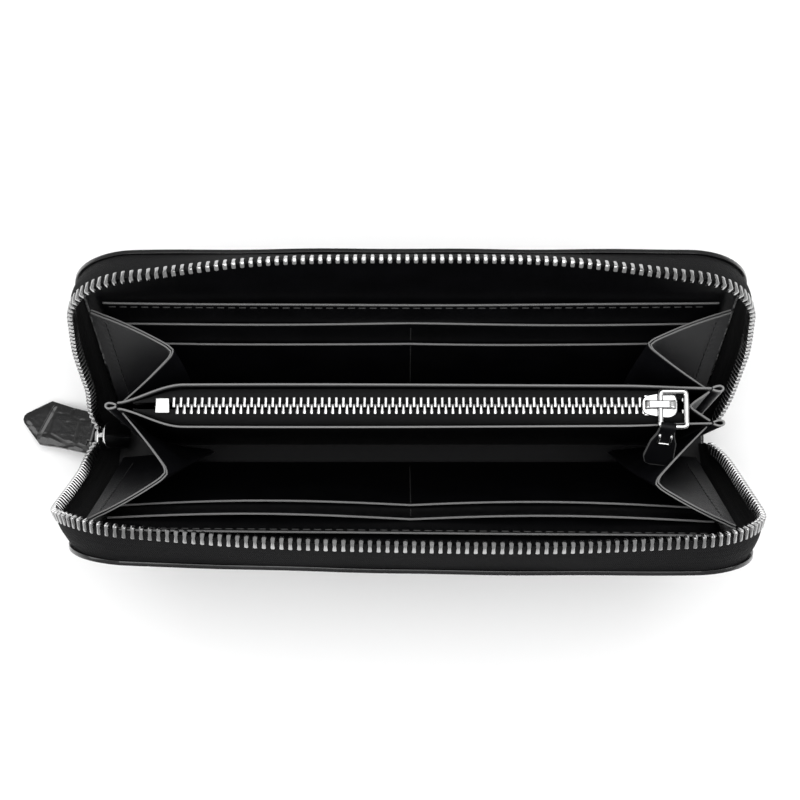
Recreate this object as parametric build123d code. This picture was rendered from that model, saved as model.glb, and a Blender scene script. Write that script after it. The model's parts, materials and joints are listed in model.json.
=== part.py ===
from build123d import *
import math
import os

# A zip-around long wallet, standing open on its spine, in millimetres.
# X runs along the wallet, +Y towards the rear cover, +Z up.
# The origin is the centre of the spine's flat underside.

# Driving dimensions: covers
COVER_LENGTH = 195.0
COVER_HEIGHT = 100.0
COVER_CORNER = 20.0
CLOSED_THICKNESS = 21.2
REAR_LEAN = 19.0
FRONT_LEAN = 22.0
OUTER_LEATHER = 1.2
BOARD = 0.5
LINING = 0.4
INNER_LEATHER = 0.6
LAYER_GAP = 0.15
HINGE_RISE = 2.0
COVER_FOOT = 0.4
COVER_CLEARANCE = 0.6

# Pockets on each cover: how far each top edge is below the cover's top edge
PANEL_FOOT = 3.0
BILL_PANEL_DROP = 25.0
UPPER_STRIP_DROP = 36.0
LOWER_STRIP_DROP = 47.0
UPPER_STRIP_FOOT = 14.0
LOWER_STRIP_FOOT = 4.0
POCKET_MARGIN = 7.0
STITCH_PITCH = 3.2
STITCH_LENGTH = 2.0
STITCH_THICKNESS = 0.12
STITCH_WIDTH = 0.4
DIVIDER_FOOT = 10.0

# Main zip
TAPE_THICKNESS = 0.6
TAPE_INSET = 1.2
TAPE_SPLAY = 3.0
TAPE_RIM = 8.6
TAPE_FOOT_LEFT = 19.0
TAPE_FOOT_RIGHT = 5.0
MAIN_PITCH = 2.4
MAIN_TOOTH_LENGTH = 1.1
MAIN_TOOTH_WIDTH = 2.4
TOOTH_CROSSING = 0.6
ARC_STEPS = 8

# Spine
SPINE_WIDTH = 17.2
SPINE_BOARD_INSET = 1.0

# Coin compartment in the middle
COIN_DROP = 22.0
COIN_FOOT_HEIGHT = 2.0
COIN_LEFT_MARGIN = 13.0
COIN_LEFT_TAPER = 11.5
COIN_RIGHT_MARGIN = 11.0
COIN_RIGHT_TAPER = 18.0
COIN_MOUTH = 12.4
COIN_RIGHT_MOUTH = 10.6
COIN_FOOT_WIDTH = 3.2
COIN_LEFT_WIDTH = 2.0
COIN_OFFSET = 1.0
COIN_END_DEPTH = 7.3
COIN_END_FOOT = 25.0
COIN_END_MARGIN = 0.5
BINDING_LENGTH = 3.2
BINDING_GAP = 0.2

# Coin zip
COIN_TAPE_THICKNESS = 0.5
COIN_CHAIN_MARGIN = 3.8
COIN_TAPE_MARGIN = 7.0
COIN_PITCH = 2.03
COIN_TOOTH_LENGTH = 0.9
COIN_TOOTH_HEIGHT = 2.0
COIN_HALF_CHAIN = 2.4
END_BOX_LENGTH = 4.5
END_BOX_HEIGHT = 2.6
STOP_LENGTH = 2.0
STOP_GAP = 1.4
STOP_WIDTH = 1.4

# Side gussets
GUSSET_INSET = 3.8
GUSSET_FACE = 5.0
GUSSET_FOOT = 4.0
GUSSET_DROP = 4.0
GUSSET_PANEL_FOOT = 30.5
GUSSET_PANEL_TOP = 28.5
GUSSET_BOW = 1.8
GUSSET_END_MARGIN = 1.0
GUSSET_END_GAP = 0.5
FOLD_ROWS = 8

# Main slider and its pull
MAIN_SLIDER_OUT = -1.2
MAIN_SLIDER_RISE = 12.4
MAIN_SLIDER_TILT = 45.0
MAIN_SLIDER = dict(length=11.0, nose=9.6, tail=7.6, plate=0.9, gap=2.8, flange=0.8, arch=3.6)
ARCH_WALL = 1.0
FLANGE_WALL = 0.5
PULL_YAW = 14.4
PULL_WIRE = 1.1
PULL_RING_LENGTH = 5.0
PULL_RING_WIDTH = 7.6
PULLER_LENGTH = 25.5
PULLER_TIP = 8.5
PULLER_BASE_WIDTH = 13.0
PULLER_SHOULDER_WIDTH = 14.8
PULLER_THICKNESS = 2.6
FLOOR_GAP = 0.1

# Coin slider, its ring and tab
COIN_SLIDER_MARGIN = 15.2
POST_LENGTH = 2.4
POST_SETBACK = 0.4
COIN_SLIDER = dict(length=10.0, nose=7.6, tail=6.2, plate=0.7, gap=2.6, flange=0.8, arch=2.6)
RING_WIRE = 1.0
RING_LENGTH = 7.4
RING_WIDTH = 10.2
RING_SHIFT = -1.3
RING_CLEARANCE = 0.25
TAB_LENGTH = 14.0
TAB_TOP_WIDTH = 4.6
TAB_WIDTH = 9.0
TAB_THICKNESS = 1.1
TAB_LEAN = 25.0
TAB_SHIFT = -1.7
STAPLE_WIDTH = 4.0
STAPLE_DROP = 5.5
STAPLE_WIRE = 0.8

# Places worked out from the sizes above
HALF_LENGTH = COVER_LENGTH / 2
BILL_PANEL_TOP = COVER_HEIGHT - BILL_PANEL_DROP
UPPER_STRIP_TOP = COVER_HEIGHT - UPPER_STRIP_DROP
LOWER_STRIP_TOP = COVER_HEIGHT - LOWER_STRIP_DROP
COIN_TOP = HINGE_RISE + COVER_HEIGHT - COIN_DROP
COIN_LEVEL = COIN_TOP - COIN_TOOTH_HEIGHT / 2
COIN_LEFT = COIN_LEFT_MARGIN - HALF_LENGTH
COIN_RIGHT = HALF_LENGTH - COIN_RIGHT_MARGIN
COIN_SLIDER_X = COIN_RIGHT - COIN_SLIDER_MARGIN
COIN_NOSE = COIN_SLIDER_X + COIN_SLIDER["length"] / 2
COIN_POST = COIN_NOSE - POST_SETBACK - POST_LENGTH
COIN_CHAIN_START = COIN_LEFT + COIN_LEFT_TAPER + COIN_CHAIN_MARGIN
HALF_THICKNESS = CLOSED_THICKNESS / 2
HINGE_Y = HALF_THICKNESS - OUTER_LEATHER
BOARD_FACE = OUTER_LEATHER + BOARD
LINING_FACE = BOARD_FACE + LINING
BILL_BACK = LINING_FACE + LAYER_GAP
BILL_FACE = BILL_BACK + INNER_LEATHER
UPPER_BACK = BILL_FACE + LAYER_GAP
UPPER_FACE = UPPER_BACK + INNER_LEATHER
LOWER_BACK = UPPER_FACE + LAYER_GAP
LOWER_FACE = LOWER_BACK + INNER_LEATHER
SPINE_TOP = OUTER_LEATHER + BOARD + LINING
COIN_FLOOR = SPINE_TOP + COIN_FOOT_HEIGHT
REAR_HINGE = Axis((0, HINGE_Y, HINGE_RISE), (1, 0, 0))


def box_between(low, high):
    """A box from one corner to the other."""
    size = [b - a for a, b in zip(low, high)]
    middle = [(a + b) / 2 for a, b in zip(low, high)]
    return Pos(*middle) * Box(*size)


def sheet(front, back):
    """A closed solid between two grids of points, made of small flat faces."""
    faces = []

    def quad(a, b, c, d):
        faces.append(Face(Wire.make_polygon([a, b, c])))
        faces.append(Face(Wire.make_polygon([a, c, d])))

    last_row, last_col = len(front) - 1, len(front[0]) - 1
    for i in range(last_row):
        for j in range(last_col):
            quad(front[i][j], front[i][j + 1], front[i + 1][j + 1], front[i + 1][j])
            quad(back[i][j], back[i + 1][j], back[i + 1][j + 1], back[i][j + 1])
        quad(front[i][0], front[i + 1][0], back[i + 1][0], back[i][0])
        quad(front[i][last_col], back[i][last_col], back[i + 1][last_col], front[i + 1][last_col])
    for j in range(last_col):
        quad(front[0][j], back[0][j], back[0][j + 1], front[0][j + 1])
        quad(front[last_row][j], front[last_row][j + 1], back[last_row][j + 1], back[last_row][j])
    return Solid(Shell(faces))


def beside(points, distance):
    """The same row of points moved sideways in plan, mitred at each turn."""
    normals = []
    for a, b in zip(points, points[1:]):
        run = math.hypot(b[0] - a[0], b[1] - a[1])
        normals.append(((a[1] - b[1]) / run, (b[0] - a[0]) / run))
    moved = []
    for (x, y, z), before, after in zip(points, normals[:1] + normals, normals + normals[-1:]):
        nx, ny = (before[0] + after[0]) / 2, (before[1] + after[1]) / 2
        share = distance / (nx * nx + ny * ny)
        moved.append((x + nx * share, y + ny * share, z))
    return moved


def leaf(rows, thickness):
    """A folded leather sheet standing on its rows of points, thickened in plan."""
    front = [[Vector(*p) for p in row] for row in rows]
    back = [[Vector(*p) for p in beside(row, thickness)] for row in rows]
    return sheet(front, back)


def rest_lean(side):
    """How far a cover leans back at rest, in degrees: +1 rear, -1 front."""
    return REAR_LEAN if side > 0 else FRONT_LEAN


def on_cover(shape, side):
    """Rest place of a cover piece built closed on the rear side: +1 rear, -1 front."""
    leaned = shape.rotate(REAR_HINGE, -rest_lean(side))
    return leaned if side > 0 else leaned.mirror(Plane.XZ)


def cover_point(side, x, height, depth):
    """Rest place, as if on the rear, of a point on a cover: height up it, depth inwards."""
    lean = math.radians(rest_lean(side))
    inwards = depth - OUTER_LEATHER
    y = HINGE_Y + height * math.sin(lean) - inwards * math.cos(lean)
    z = HINGE_RISE + height * math.cos(lean) + inwards * math.sin(lean)
    return (x, y, z)


# Covers

def cover_plate(inset, depth, thickness):
    """A flat layer of the closed rear cover with two rounded top corners."""
    foot = HINGE_RISE + COVER_FOOT
    height = COVER_HEIGHT - COVER_FOOT - inset
    width = COVER_LENGTH - 2 * inset
    corner = COVER_CORNER - inset
    outline = Pos(0, foot) * RectangleRounded(width, 2 * height, corner)
    lower = Pos(0, foot - height) * Rectangle(width + 2, 2 * height)
    face = Plane.XZ.offset(depth - HALF_THICKNESS) * (outline - lower)
    return extrude(face, thickness)


def pocket_sheet(foot, top, depth, half_width):
    """A flat leather sheet of the closed rear cover, seen square on."""
    low = (-half_width, HALF_THICKNESS - depth - INNER_LEATHER, HINGE_RISE + foot)
    high = (half_width, HALF_THICKNESS - depth, HINGE_RISE + top)
    return box_between(low, high)


def stitch_row(places, depth, upright):
    """Thread stitches lying on a leather face of the closed rear cover."""
    long, wide = (STITCH_WIDTH, STITCH_LENGTH) if upright else (STITCH_LENGTH, STITCH_WIDTH)
    y = HALF_THICKNESS - depth - STITCH_THICKNESS / 2
    stitches = [Pos(x, y, HINGE_RISE + h) * Box(long, STITCH_THICKNESS, wide) for x, h in places]
    return Compound(stitches)


def divider_stitches():
    """The upright seam that parts the card slots into two columns."""
    count = int((LOWER_STRIP_TOP - DIVIDER_FOOT) / STITCH_PITCH)
    places = [(0, DIVIDER_FOOT + i * STITCH_PITCH) for i in range(count)]
    return stitch_row(places, LOWER_FACE, True)


def panel_stitches():
    """The seam just under the bill panel's top edge."""
    half = HALF_LENGTH - POCKET_MARGIN - 1
    count = int(2 * half / STITCH_PITCH)
    height = BILL_PANEL_TOP - 1.6
    places = [(-half + i * STITCH_PITCH, height) for i in range(count + 1)]
    return stitch_row(places, BILL_FACE, False)


def rim_point(distance, outward):
    """Place and turn on the U-shaped rim, by distance from the left leg's foot line."""
    half = HALF_LENGTH - TAPE_INSET
    top = COVER_HEIGHT - TAPE_INSET
    radius = COVER_CORNER - TAPE_INSET
    leg = top - radius
    arc = math.pi / 2 * radius
    flat = 2 * (half - radius)
    if distance <= leg:
        return (-half - outward, distance, 90.0)
    distance -= leg
    if distance <= arc:
        turn = distance / radius
        x = -half + radius - (radius + outward) * math.cos(turn)
        return (x, leg + (radius + outward) * math.sin(turn), 90 - math.degrees(turn))
    distance -= arc
    if distance <= flat:
        return (-half + radius + distance, top + outward, 0.0)
    distance -= flat
    if distance <= arc:
        turn = distance / radius
        x = half - radius + (radius + outward) * math.sin(turn)
        return (x, leg + (radius + outward) * math.cos(turn), -math.degrees(turn))
    return (half + outward, leg - (distance - arc), -90.0)


def rim_length():
    """Length of the whole rim, from hinge line to hinge line."""
    half = HALF_LENGTH - TAPE_INSET
    top = COVER_HEIGHT - TAPE_INSET
    radius = COVER_CORNER - TAPE_INSET
    return 2 * (top - radius) + 2 * (half - radius) + math.pi * radius


def rim_stations():
    """Distances that draw the rim: its two feet, and steps round each corner."""
    half = HALF_LENGTH - TAPE_INSET
    radius = COVER_CORNER - TAPE_INSET
    leg = COVER_HEIGHT - TAPE_INSET - radius
    arc = math.pi / 2 * radius
    second = leg + arc + 2 * (half - radius)
    first_arc = [leg + arc * i / ARC_STEPS for i in range(ARC_STEPS + 1)]
    second_arc = [second + arc * i / ARC_STEPS for i in range(ARC_STEPS + 1)]
    return [TAPE_FOOT_LEFT] + first_arc + second_arc + [rim_length() - TAPE_FOOT_RIGHT]


def zip_tape():
    """The woven wall round three sides of the closed rear cover, splayed outwards."""
    def row(outward, depth):
        points = []
        for distance in rim_stations():
            x, height, _ = rim_point(distance, outward)
            points.append(Vector(x, HALF_THICKNESS - depth, HINGE_RISE + height))
        return points

    outer = [row(0, OUTER_LEATHER), row(TAPE_SPLAY, TAPE_RIM)]
    inner = [row(-TAPE_THICKNESS, OUTER_LEATHER), row(TAPE_SPLAY - TAPE_THICKNESS, TAPE_RIM)]
    return sheet(outer, inner)


def zip_teeth(stagger):
    """One side's teeth, standing on the tape's rim of the closed rear cover."""
    reach = HALF_THICKNESS + TOOTH_CROSSING - TAPE_RIM
    y = HALF_THICKNESS - TAPE_RIM - reach / 2
    run = rim_length() - TAPE_FOOT_LEFT - TAPE_FOOT_RIGHT - 3 * MAIN_PITCH
    outward = TAPE_SPLAY - TAPE_THICKNESS / 2
    teeth = []
    for i in range(int(run / MAIN_PITCH)):
        distance = TAPE_FOOT_LEFT + (i + 1 + stagger) * MAIN_PITCH
        x, height, turn = rim_point(distance, outward)
        place = Location((x, y, HINGE_RISE + height), (0, -turn, 0))
        teeth.append(place * Box(MAIN_TOOTH_LENGTH, reach, MAIN_TOOTH_WIDTH))
    return Compound(teeth)


def zip_stop():
    """The metal stop that ends one side's teeth, low on the right."""
    reach = HALF_THICKNESS - TAPE_RIM
    y = HALF_THICKNESS - TAPE_RIM - reach / 2
    distance = rim_length() - TAPE_FOOT_RIGHT - MAIN_PITCH
    x, height, _ = rim_point(distance, TAPE_SPLAY - TAPE_THICKNESS / 2)
    return Pos(x, y, HINGE_RISE + height) * Box(MAIN_TOOTH_WIDTH, reach, MAIN_PITCH)


def cover_pieces():
    """Every piece of one cover, closed, on the rear side, but for its teeth."""
    board_inset = TAPE_INSET + TAPE_THICKNESS + COVER_CLEARANCE
    half_bill = HALF_LENGTH - POCKET_MARGIN
    half_strip = half_bill - 1
    return {
        "cover_leather": cover_plate(0, 0, OUTER_LEATHER),
        "cover_board": cover_plate(board_inset, OUTER_LEATHER, BOARD),
        "cover_lining": cover_plate(board_inset, BOARD_FACE, LINING),
        "zip_tape": zip_tape(),
        "zip_stop": zip_stop(),
        "bill_panel": pocket_sheet(PANEL_FOOT, BILL_PANEL_TOP, BILL_BACK, half_bill),
        "card_strip_upper": pocket_sheet(UPPER_STRIP_FOOT, UPPER_STRIP_TOP, UPPER_BACK, half_strip),
        "card_strip_lower": pocket_sheet(LOWER_STRIP_FOOT, LOWER_STRIP_TOP, LOWER_BACK, half_strip),
        "panel_stitches": panel_stitches(),
        "divider_stitches": divider_stitches(),
    }


# Spine

def spine_layer(inset, low, high):
    """A flat layer of the spine."""
    half_x, half_y = HALF_LENGTH - inset, SPINE_WIDTH / 2 - inset
    return box_between((-half_x, -half_y, low), (half_x, half_y, high))


def spine_pieces():
    """The leather strip the wallet stands on, its board and its lining."""
    board_top = OUTER_LEATHER + BOARD
    return {
        "spine_leather": spine_layer(0, 0, OUTER_LEATHER),
        "spine_board": spine_layer(SPINE_BOARD_INSET, OUTER_LEATHER, board_top),
        "spine_lining": spine_layer(SPINE_BOARD_INSET, board_top, SPINE_TOP),
    }


# Coin compartment

def coin_centre(z):
    """Where the compartment's middle plane is at a height: it leans back a little."""
    return COIN_OFFSET * (z - COIN_FLOOR) / (COIN_TOP - COIN_FLOOR)


def coin_half(x, z):
    """Half width of the compartment, outside its walls, at a place along it."""
    share = (z - COIN_FLOOR) / (COIN_TOP - COIN_FLOOR)
    top = COIN_MOUTH / 2
    if x < COIN_LEFT + COIN_LEFT_TAPER:
        near = (x - COIN_LEFT) / COIN_LEFT_TAPER
        top = COIN_LEFT_WIDTH / 2 + near * (top - COIN_LEFT_WIDTH / 2)
    if x > COIN_RIGHT - COIN_RIGHT_TAPER:
        far = (COIN_RIGHT - x) / COIN_RIGHT_TAPER
        top = COIN_RIGHT_MOUTH / 2 + far * (top - COIN_RIGHT_MOUTH / 2)
    foot = min(COIN_FOOT_WIDTH / 2, top)
    return foot + share * (top - foot)


def coin_wall(side):
    """One wall of the coin compartment: +1 rear, -1 front."""
    stations = [COIN_LEFT, COIN_LEFT + COIN_LEFT_TAPER, COIN_RIGHT - COIN_RIGHT_TAPER, COIN_RIGHT]
    rows = []
    for i in range(FOLD_ROWS):
        z = COIN_FLOOR + (COIN_TOP - COIN_FLOOR) * i / (FOLD_ROWS - 1)
        rows.append([(x, coin_centre(z) + side * coin_half(x, z), z) for x in stations])
    return leaf(rows, -side * INNER_LEATHER)


def coin_end_right():
    """The small V-shaped gusset that closes the slider's end."""
    rows = []
    for z in (COIN_END_FOOT, COIN_TOP - 1.0):
        x = COIN_RIGHT - COIN_END_MARGIN
        inner = coin_half(x, z) - INNER_LEATHER - BINDING_GAP
        middle = coin_centre(z)
        apex = x - COIN_END_DEPTH
        rows.append([(x, middle + inner, z), (apex, middle, z), (x, middle - inner, z)])
    return leaf(rows, COIN_TAPE_THICKNESS)


def bound_end(x, side, foot_y, top_y):
    """A bound leather edge that leans from the foot to the top of a wall's end."""
    low = x + side * BINDING_GAP
    high = low + side * BINDING_LENGTH
    near, far = sorted((low, high))
    rows = []
    for z, y in ((COIN_FLOOR, foot_y), (COIN_TOP, top_y)):
        rows.append([(near, y - INNER_LEATHER, z), (far, y - INNER_LEATHER, z)])
    return leaf(rows, 2 * INNER_LEATHER)


def coin_bindings():
    """Bound ends of the walls: one on the left, two on the right."""
    top = coin_centre(COIN_TOP)
    foot_half = coin_half(COIN_RIGHT, COIN_FLOOR) - INNER_LEATHER / 2
    top_half = coin_half(COIN_RIGHT, COIN_TOP) - INNER_LEATHER / 2
    return Compound([
        bound_end(COIN_LEFT, -1, 0, top),
        bound_end(COIN_RIGHT, 1, foot_half, top + top_half),
        bound_end(COIN_RIGHT, 1, -foot_half, top - top_half),
    ])


def coin_base():
    """The folded strip that joins both walls to the spine's lining."""
    half = COIN_FOOT_WIDTH / 2
    return box_between((COIN_LEFT, -half, SPINE_TOP), (COIN_RIGHT, half, COIN_FLOOR))


def coin_tape(side):
    """One woven tape of the coin zip, from its wall to its teeth."""
    middle = coin_centre(COIN_LEVEL)
    start, end = COIN_LEFT + COIN_LEFT_TAPER + 1.0, COIN_RIGHT - COIN_TAPE_MARGIN
    wall = min(coin_half(start, COIN_LEVEL), coin_half(end, COIN_LEVEL))
    outer = wall - INNER_LEATHER - LAYER_GAP
    near, far = sorted((middle + side * COIN_HALF_CHAIN, middle + side * outer))
    half = COIN_TAPE_THICKNESS / 2
    return box_between((start, near, COIN_LEVEL - half), (end, far, COIN_LEVEL + half))


def coin_teeth(side):
    """One side's teeth of the closed coin zip, staggered to mesh with the other's."""
    inner, outer = -side * TOOTH_CROSSING, side * COIN_HALF_CHAIN
    y = coin_centre(COIN_LEVEL) + (inner + outer) / 2
    start = COIN_CHAIN_START + (COIN_PITCH / 2 if side < 0 else 0)
    count = int((COIN_POST - start) / COIN_PITCH)
    tooth = Box(COIN_TOOTH_LENGTH, abs(outer - inner), COIN_TOOTH_HEIGHT)
    places = [Pos(start + (i + 0.5) * COIN_PITCH, y, COIN_LEVEL) for i in range(count)]
    return Compound([place * tooth for place in places])


def coin_end_box():
    """The metal box that joins both tapes at the closed end of the coin zip."""
    x = COIN_CHAIN_START - END_BOX_LENGTH / 2
    place = Pos(x, coin_centre(COIN_LEVEL), COIN_LEVEL)
    return place * Box(END_BOX_LENGTH - LAYER_GAP, 2 * COIN_HALF_CHAIN, END_BOX_HEIGHT)


def coin_stops():
    """Two small metal stops past the slider, one on each tape."""
    middle = coin_centre(COIN_LEVEL)
    x = COIN_NOSE + STOP_GAP + STOP_LENGTH / 2
    y = COIN_HALF_CHAIN - STOP_WIDTH / 2
    stop = Box(STOP_LENGTH, STOP_WIDTH, COIN_TOOTH_HEIGHT)
    return Compound([Pos(x, middle + side * y, COIN_LEVEL) * stop for side in (1, -1)])


def coin_pieces():
    """Every fixed piece of the coin compartment."""
    return {
        "coin_base": coin_base(),
        "coin_wall_rear": coin_wall(1),
        "coin_wall_front": coin_wall(-1),
        "coin_end_gusset": coin_end_right(),
        "coin_end_bindings": coin_bindings(),
        "coin_zip_tape_rear": coin_tape(1),
        "coin_zip_tape_front": coin_tape(-1),
        "coin_zip_teeth_rear": coin_teeth(1),
        "coin_zip_teeth_front": coin_teeth(-1),
        "coin_zip_end_box": coin_end_box(),
        "coin_zip_stops": coin_stops(),
    }


# Side gussets

def gusset(end, side):
    """A side gusset with one crease, from a cover to an end of the coin compartment."""
    x_edge = HALF_LENGTH - GUSSET_INSET
    x_end = abs(COIN_LEFT if end < 0 else COIN_RIGHT) - GUSSET_END_MARGIN
    rows = []
    for i in range(FOLD_ROWS):
        share = i / (FOLD_ROWS - 1)
        edge = cover_point(side, x_edge, GUSSET_FOOT + share * (BILL_PANEL_TOP - GUSSET_FOOT), GUSSET_FACE)
        z = COIN_FLOOR + 1.0 + share * (COIN_TOP - GUSSET_DROP - COIN_FLOOR - 1.0)
        pocket_y = side * coin_centre(z) + coin_half(end * x_end, z) + GUSSET_END_GAP
        panel = GUSSET_PANEL_FOOT + share * (GUSSET_PANEL_TOP - GUSSET_PANEL_FOOT)
        crease_x = x_edge - math.sqrt(panel ** 2 - ((edge[1] - pocket_y) / 2) ** 2)
        crease_y = (edge[1] + pocket_y) / 2 + share * GUSSET_BOW
        row = (edge, (crease_x, crease_y, z), (x_end, pocket_y, z))
        rows.append([(end * x, side * y, level) for x, y, level in row])
    return leaf(rows, end * side * INNER_LEATHER)


# Sliders and pulls

def slider(length, nose, tail, plate, gap, flange, arch):
    """A zip slider lying flat: nose towards +X, arch on +Z, open channel between plates."""
    corners = [(-length / 2, -tail / 2), (length / 2 - 2, -nose / 2), (length / 2, -nose / 4),
               (length / 2, nose / 4), (length / 2 - 2, nose / 2), (-length / 2, tail / 2)]
    outline = make_face(Polyline(*corners, close=True))
    half = gap / 2
    body = extrude(Plane.XY.offset(half) * outline, plate)
    body += extrude(Plane.XY.offset(-half - plate) * outline, plate)
    body += Pos(length / 2 - POST_SETBACK - POST_LENGTH / 2, 0, 0) * Box(POST_LENGTH, 1.6, gap)
    for level in (half - flange / 2, -half + flange / 2):
        for side in (1, -1):
            place = Pos(-length / 4, side * (tail - FLANGE_WALL) / 2, level)
            body += place * Box(length / 2, FLANGE_WALL, flange)
    span = 0.8 * length
    base = Pos(0, half + plate)
    hump = base * RectangleRounded(span, 2 * arch, arch * 0.7)
    window = base * RectangleRounded(span - 2 * ARCH_WALL, 2 * (arch - ARCH_WALL), arch * 0.3)
    below = base * Pos(0, -arch - plate / 2) * Rectangle(2 * span, 2 * arch)
    profile = hump - window - below
    body += extrude(Plane.XZ.offset(-ARCH_WALL / 2) * profile, ARCH_WALL)
    return body


def ring(length, width, wire):
    """A flat rectangular ring: its near bar on the origin, along Y, reaching towards +X."""
    outer = Pos(length / 2, 0) * RectangleRounded(length + wire, width + wire, 1.6)
    inner = Pos(length / 2, 0) * RectangleRounded(length - wire, width - wire, 0.8)
    return extrude(Plane.XY.offset(-wire / 2) * (outer - inner), wire)


def main_slider_place():
    """Nose up and outwards, arch down and outwards."""
    tilt = math.radians(MAIN_SLIDER_TILT)
    nose = (-math.sin(tilt), 0, math.cos(tilt))
    outwards = (-math.cos(tilt), 0, -math.sin(tilt))
    origin = (-HALF_LENGTH - MAIN_SLIDER_OUT, 0, MAIN_SLIDER_RISE)
    return Plane(origin=origin, x_dir=nose, z_dir=outwards)


def under_arch(size, wire):
    """How far a slider's middle is from a square bar held up under its arch."""
    return size["gap"] / 2 + size["plate"] + size["arch"] - ARCH_WALL - 0.75 * wire


def main_pull_pivot():
    """The near bar of the pull's ring, held under the slider's arch."""
    return main_slider_place().from_local_coords(Vector(0, 0, under_arch(MAIN_SLIDER, PULL_WIRE)))


def main_pull_slope():
    """Downward slope that lays the puller's tip on the surface, in degrees."""
    pivot = main_pull_pivot()
    reach = PULL_RING_LENGTH + PULLER_LENGTH
    drop = pivot.Z - PULLER_THICKNESS / 2 - FLOOR_GAP
    return math.degrees(math.asin(drop / reach))


def main_pull_place():
    """Ring and puller lie along +X of this plane, turned to the rear and sloped down."""
    yaw = math.radians(PULL_YAW)
    slope = math.radians(main_pull_slope())
    flat = (-math.cos(yaw), math.sin(yaw))
    forward = (flat[0] * math.cos(slope), flat[1] * math.cos(slope), -math.sin(slope))
    up = (flat[0] * math.sin(slope), flat[1] * math.sin(slope), math.cos(slope))
    return Plane(origin=main_pull_pivot(), x_dir=forward, z_dir=up)


def puller_leather():
    """The pointed leather puller, folded round the ring's far bar."""
    start = PULL_RING_LENGTH - PULL_WIRE / 2 - 1.3
    shoulder = PULL_RING_LENGTH + PULLER_LENGTH - PULLER_TIP
    tip = PULL_RING_LENGTH + PULLER_LENGTH
    base, wide = PULLER_BASE_WIDTH / 2, PULLER_SHOULDER_WIDTH / 2
    corners = [(start, -base), (shoulder, -wide), (tip, -1.0), (tip, 1.0), (shoulder, wide), (start, base)]
    outline = make_face(Polyline(*corners, close=True))
    body = extrude(Plane.XY.offset(-PULLER_THICKNESS / 2) * outline, PULLER_THICKNESS)
    arm = PULL_RING_WIDTH / 2
    slot = PULL_WIRE / 2 + RING_CLEARANCE
    tunnel = Pos(PULL_RING_LENGTH, 0, 0) * Box(2 * slot, PULL_RING_WIDTH + 4 * slot, 2 * slot)
    body -= tunnel
    notch = 2 * (PULL_RING_LENGTH - start + slot)
    for side in (1, -1):
        body -= Pos(start, side * arm, 0) * Box(notch, 2 * slot, 2 * PULLER_THICKNESS)
    return body


def coin_ring_pivot():
    """The ring's near bar, under the coin slider's arch."""
    middle = coin_centre(COIN_LEVEL) + RING_SHIFT
    return Vector(COIN_SLIDER_X, middle, COIN_LEVEL + under_arch(COIN_SLIDER, RING_WIRE))


def coin_tab_pivot():
    """The ring's front bar, which the tab hangs from."""
    pivot = coin_ring_pivot()
    return pivot + Vector(RING_LENGTH / 2 + TAB_SHIFT, -RING_WIDTH / 2, 0)


def tab_place():
    """The tab hangs along +X of this plane, leaning away from the wall."""
    lean = math.radians(TAB_LEAN)
    down = (0, -math.sin(lean), -math.cos(lean))
    outwards = (0, -math.cos(lean), math.sin(lean))
    return Plane(origin=coin_tab_pivot(), x_dir=down, z_dir=outwards)


def coin_tab():
    """The leather tab, folded round the ring's front bar."""
    top, wide = TAB_TOP_WIDTH / 2, TAB_WIDTH / 2
    start = RING_WIRE / 2 + RING_CLEARANCE
    corners = [(start, -top), (5.0, -wide + 0.8), (TAB_LENGTH - 2, -wide), (TAB_LENGTH, -wide + 2),
               (TAB_LENGTH, wide - 2), (TAB_LENGTH - 2, wide), (5.0, wide - 0.8), (start, top)]
    outline = make_face(Polyline(*corners, close=True))
    return extrude(Plane.XY.offset(-TAB_THICKNESS / 2) * outline, TAB_THICKNESS)


def coin_staple():
    """The small metal staple that closes the tab's fold, on its outer face."""
    face = TAB_THICKNESS / 2
    half = STAPLE_WIDTH / 2
    wire = STAPLE_WIRE
    legs = [Pos(STAPLE_DROP - 1.2, side * (half - wire / 2), face + wire / 2) * Box(3.2, wire, wire)
            for side in (1, -1)]
    bar = Pos(STAPLE_DROP, 0, face + wire / 2) * Box(wire, STAPLE_WIDTH, wire)
    return bar + legs[0] + legs[1]


def moving_pieces():
    """Sliders, rings, puller and tab at rest."""
    coin_place = Pos(COIN_SLIDER_X, coin_centre(COIN_LEVEL), COIN_LEVEL)
    main_ring = ring(PULL_RING_LENGTH, PULL_RING_WIDTH, PULL_WIRE)
    return {
        "main_slider": main_slider_place() * slider(**MAIN_SLIDER),
        "main_pull_ring": main_pull_place() * main_ring,
        "main_puller_leather": main_pull_place() * puller_leather(),
        "coin_slider": coin_place * slider(**COIN_SLIDER),
        "coin_pull_ring": Pos(coin_ring_pivot()) * ring(RING_LENGTH, RING_WIDTH, RING_WIRE),
        "coin_tab_leather": tab_place() * coin_tab(),
        "coin_tab_staple": tab_place() * coin_staple(),
    }


# Write one file for each piece
nodes = {}
nodes.update(spine_pieces())
nodes.update(coin_pieces())
for end, end_name in ((-1, "left"), (1, "right")):
    for side, side_name in ((1, "rear"), (-1, "front")):
        nodes[f"gusset_{side_name}_{end_name}"] = gusset(end, side)
for side, side_name in ((1, "rear"), (-1, "front")):
    for name, piece in cover_pieces().items():
        nodes[f"{side_name}_{name}"] = on_cover(piece, side)
    stagger = 0 if side > 0 else 0.5
    nodes[f"{side_name}_zip_teeth"] = on_cover(zip_teeth(stagger), side)
nodes.update(moving_pieces())

os.makedirs("parts", exist_ok=True)
for name, piece in nodes.items():
    export_step(piece, f"parts/{name}.step")
print(len(nodes), "nodes")
print("rear hinge", (0, HINGE_Y, HINGE_RISE))
print("main pull pivot", main_pull_pivot(), "slope", round(main_pull_slope(), 2))
print("coin ring pivot", coin_ring_pivot(), "tab pivot", coin_tab_pivot())
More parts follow.
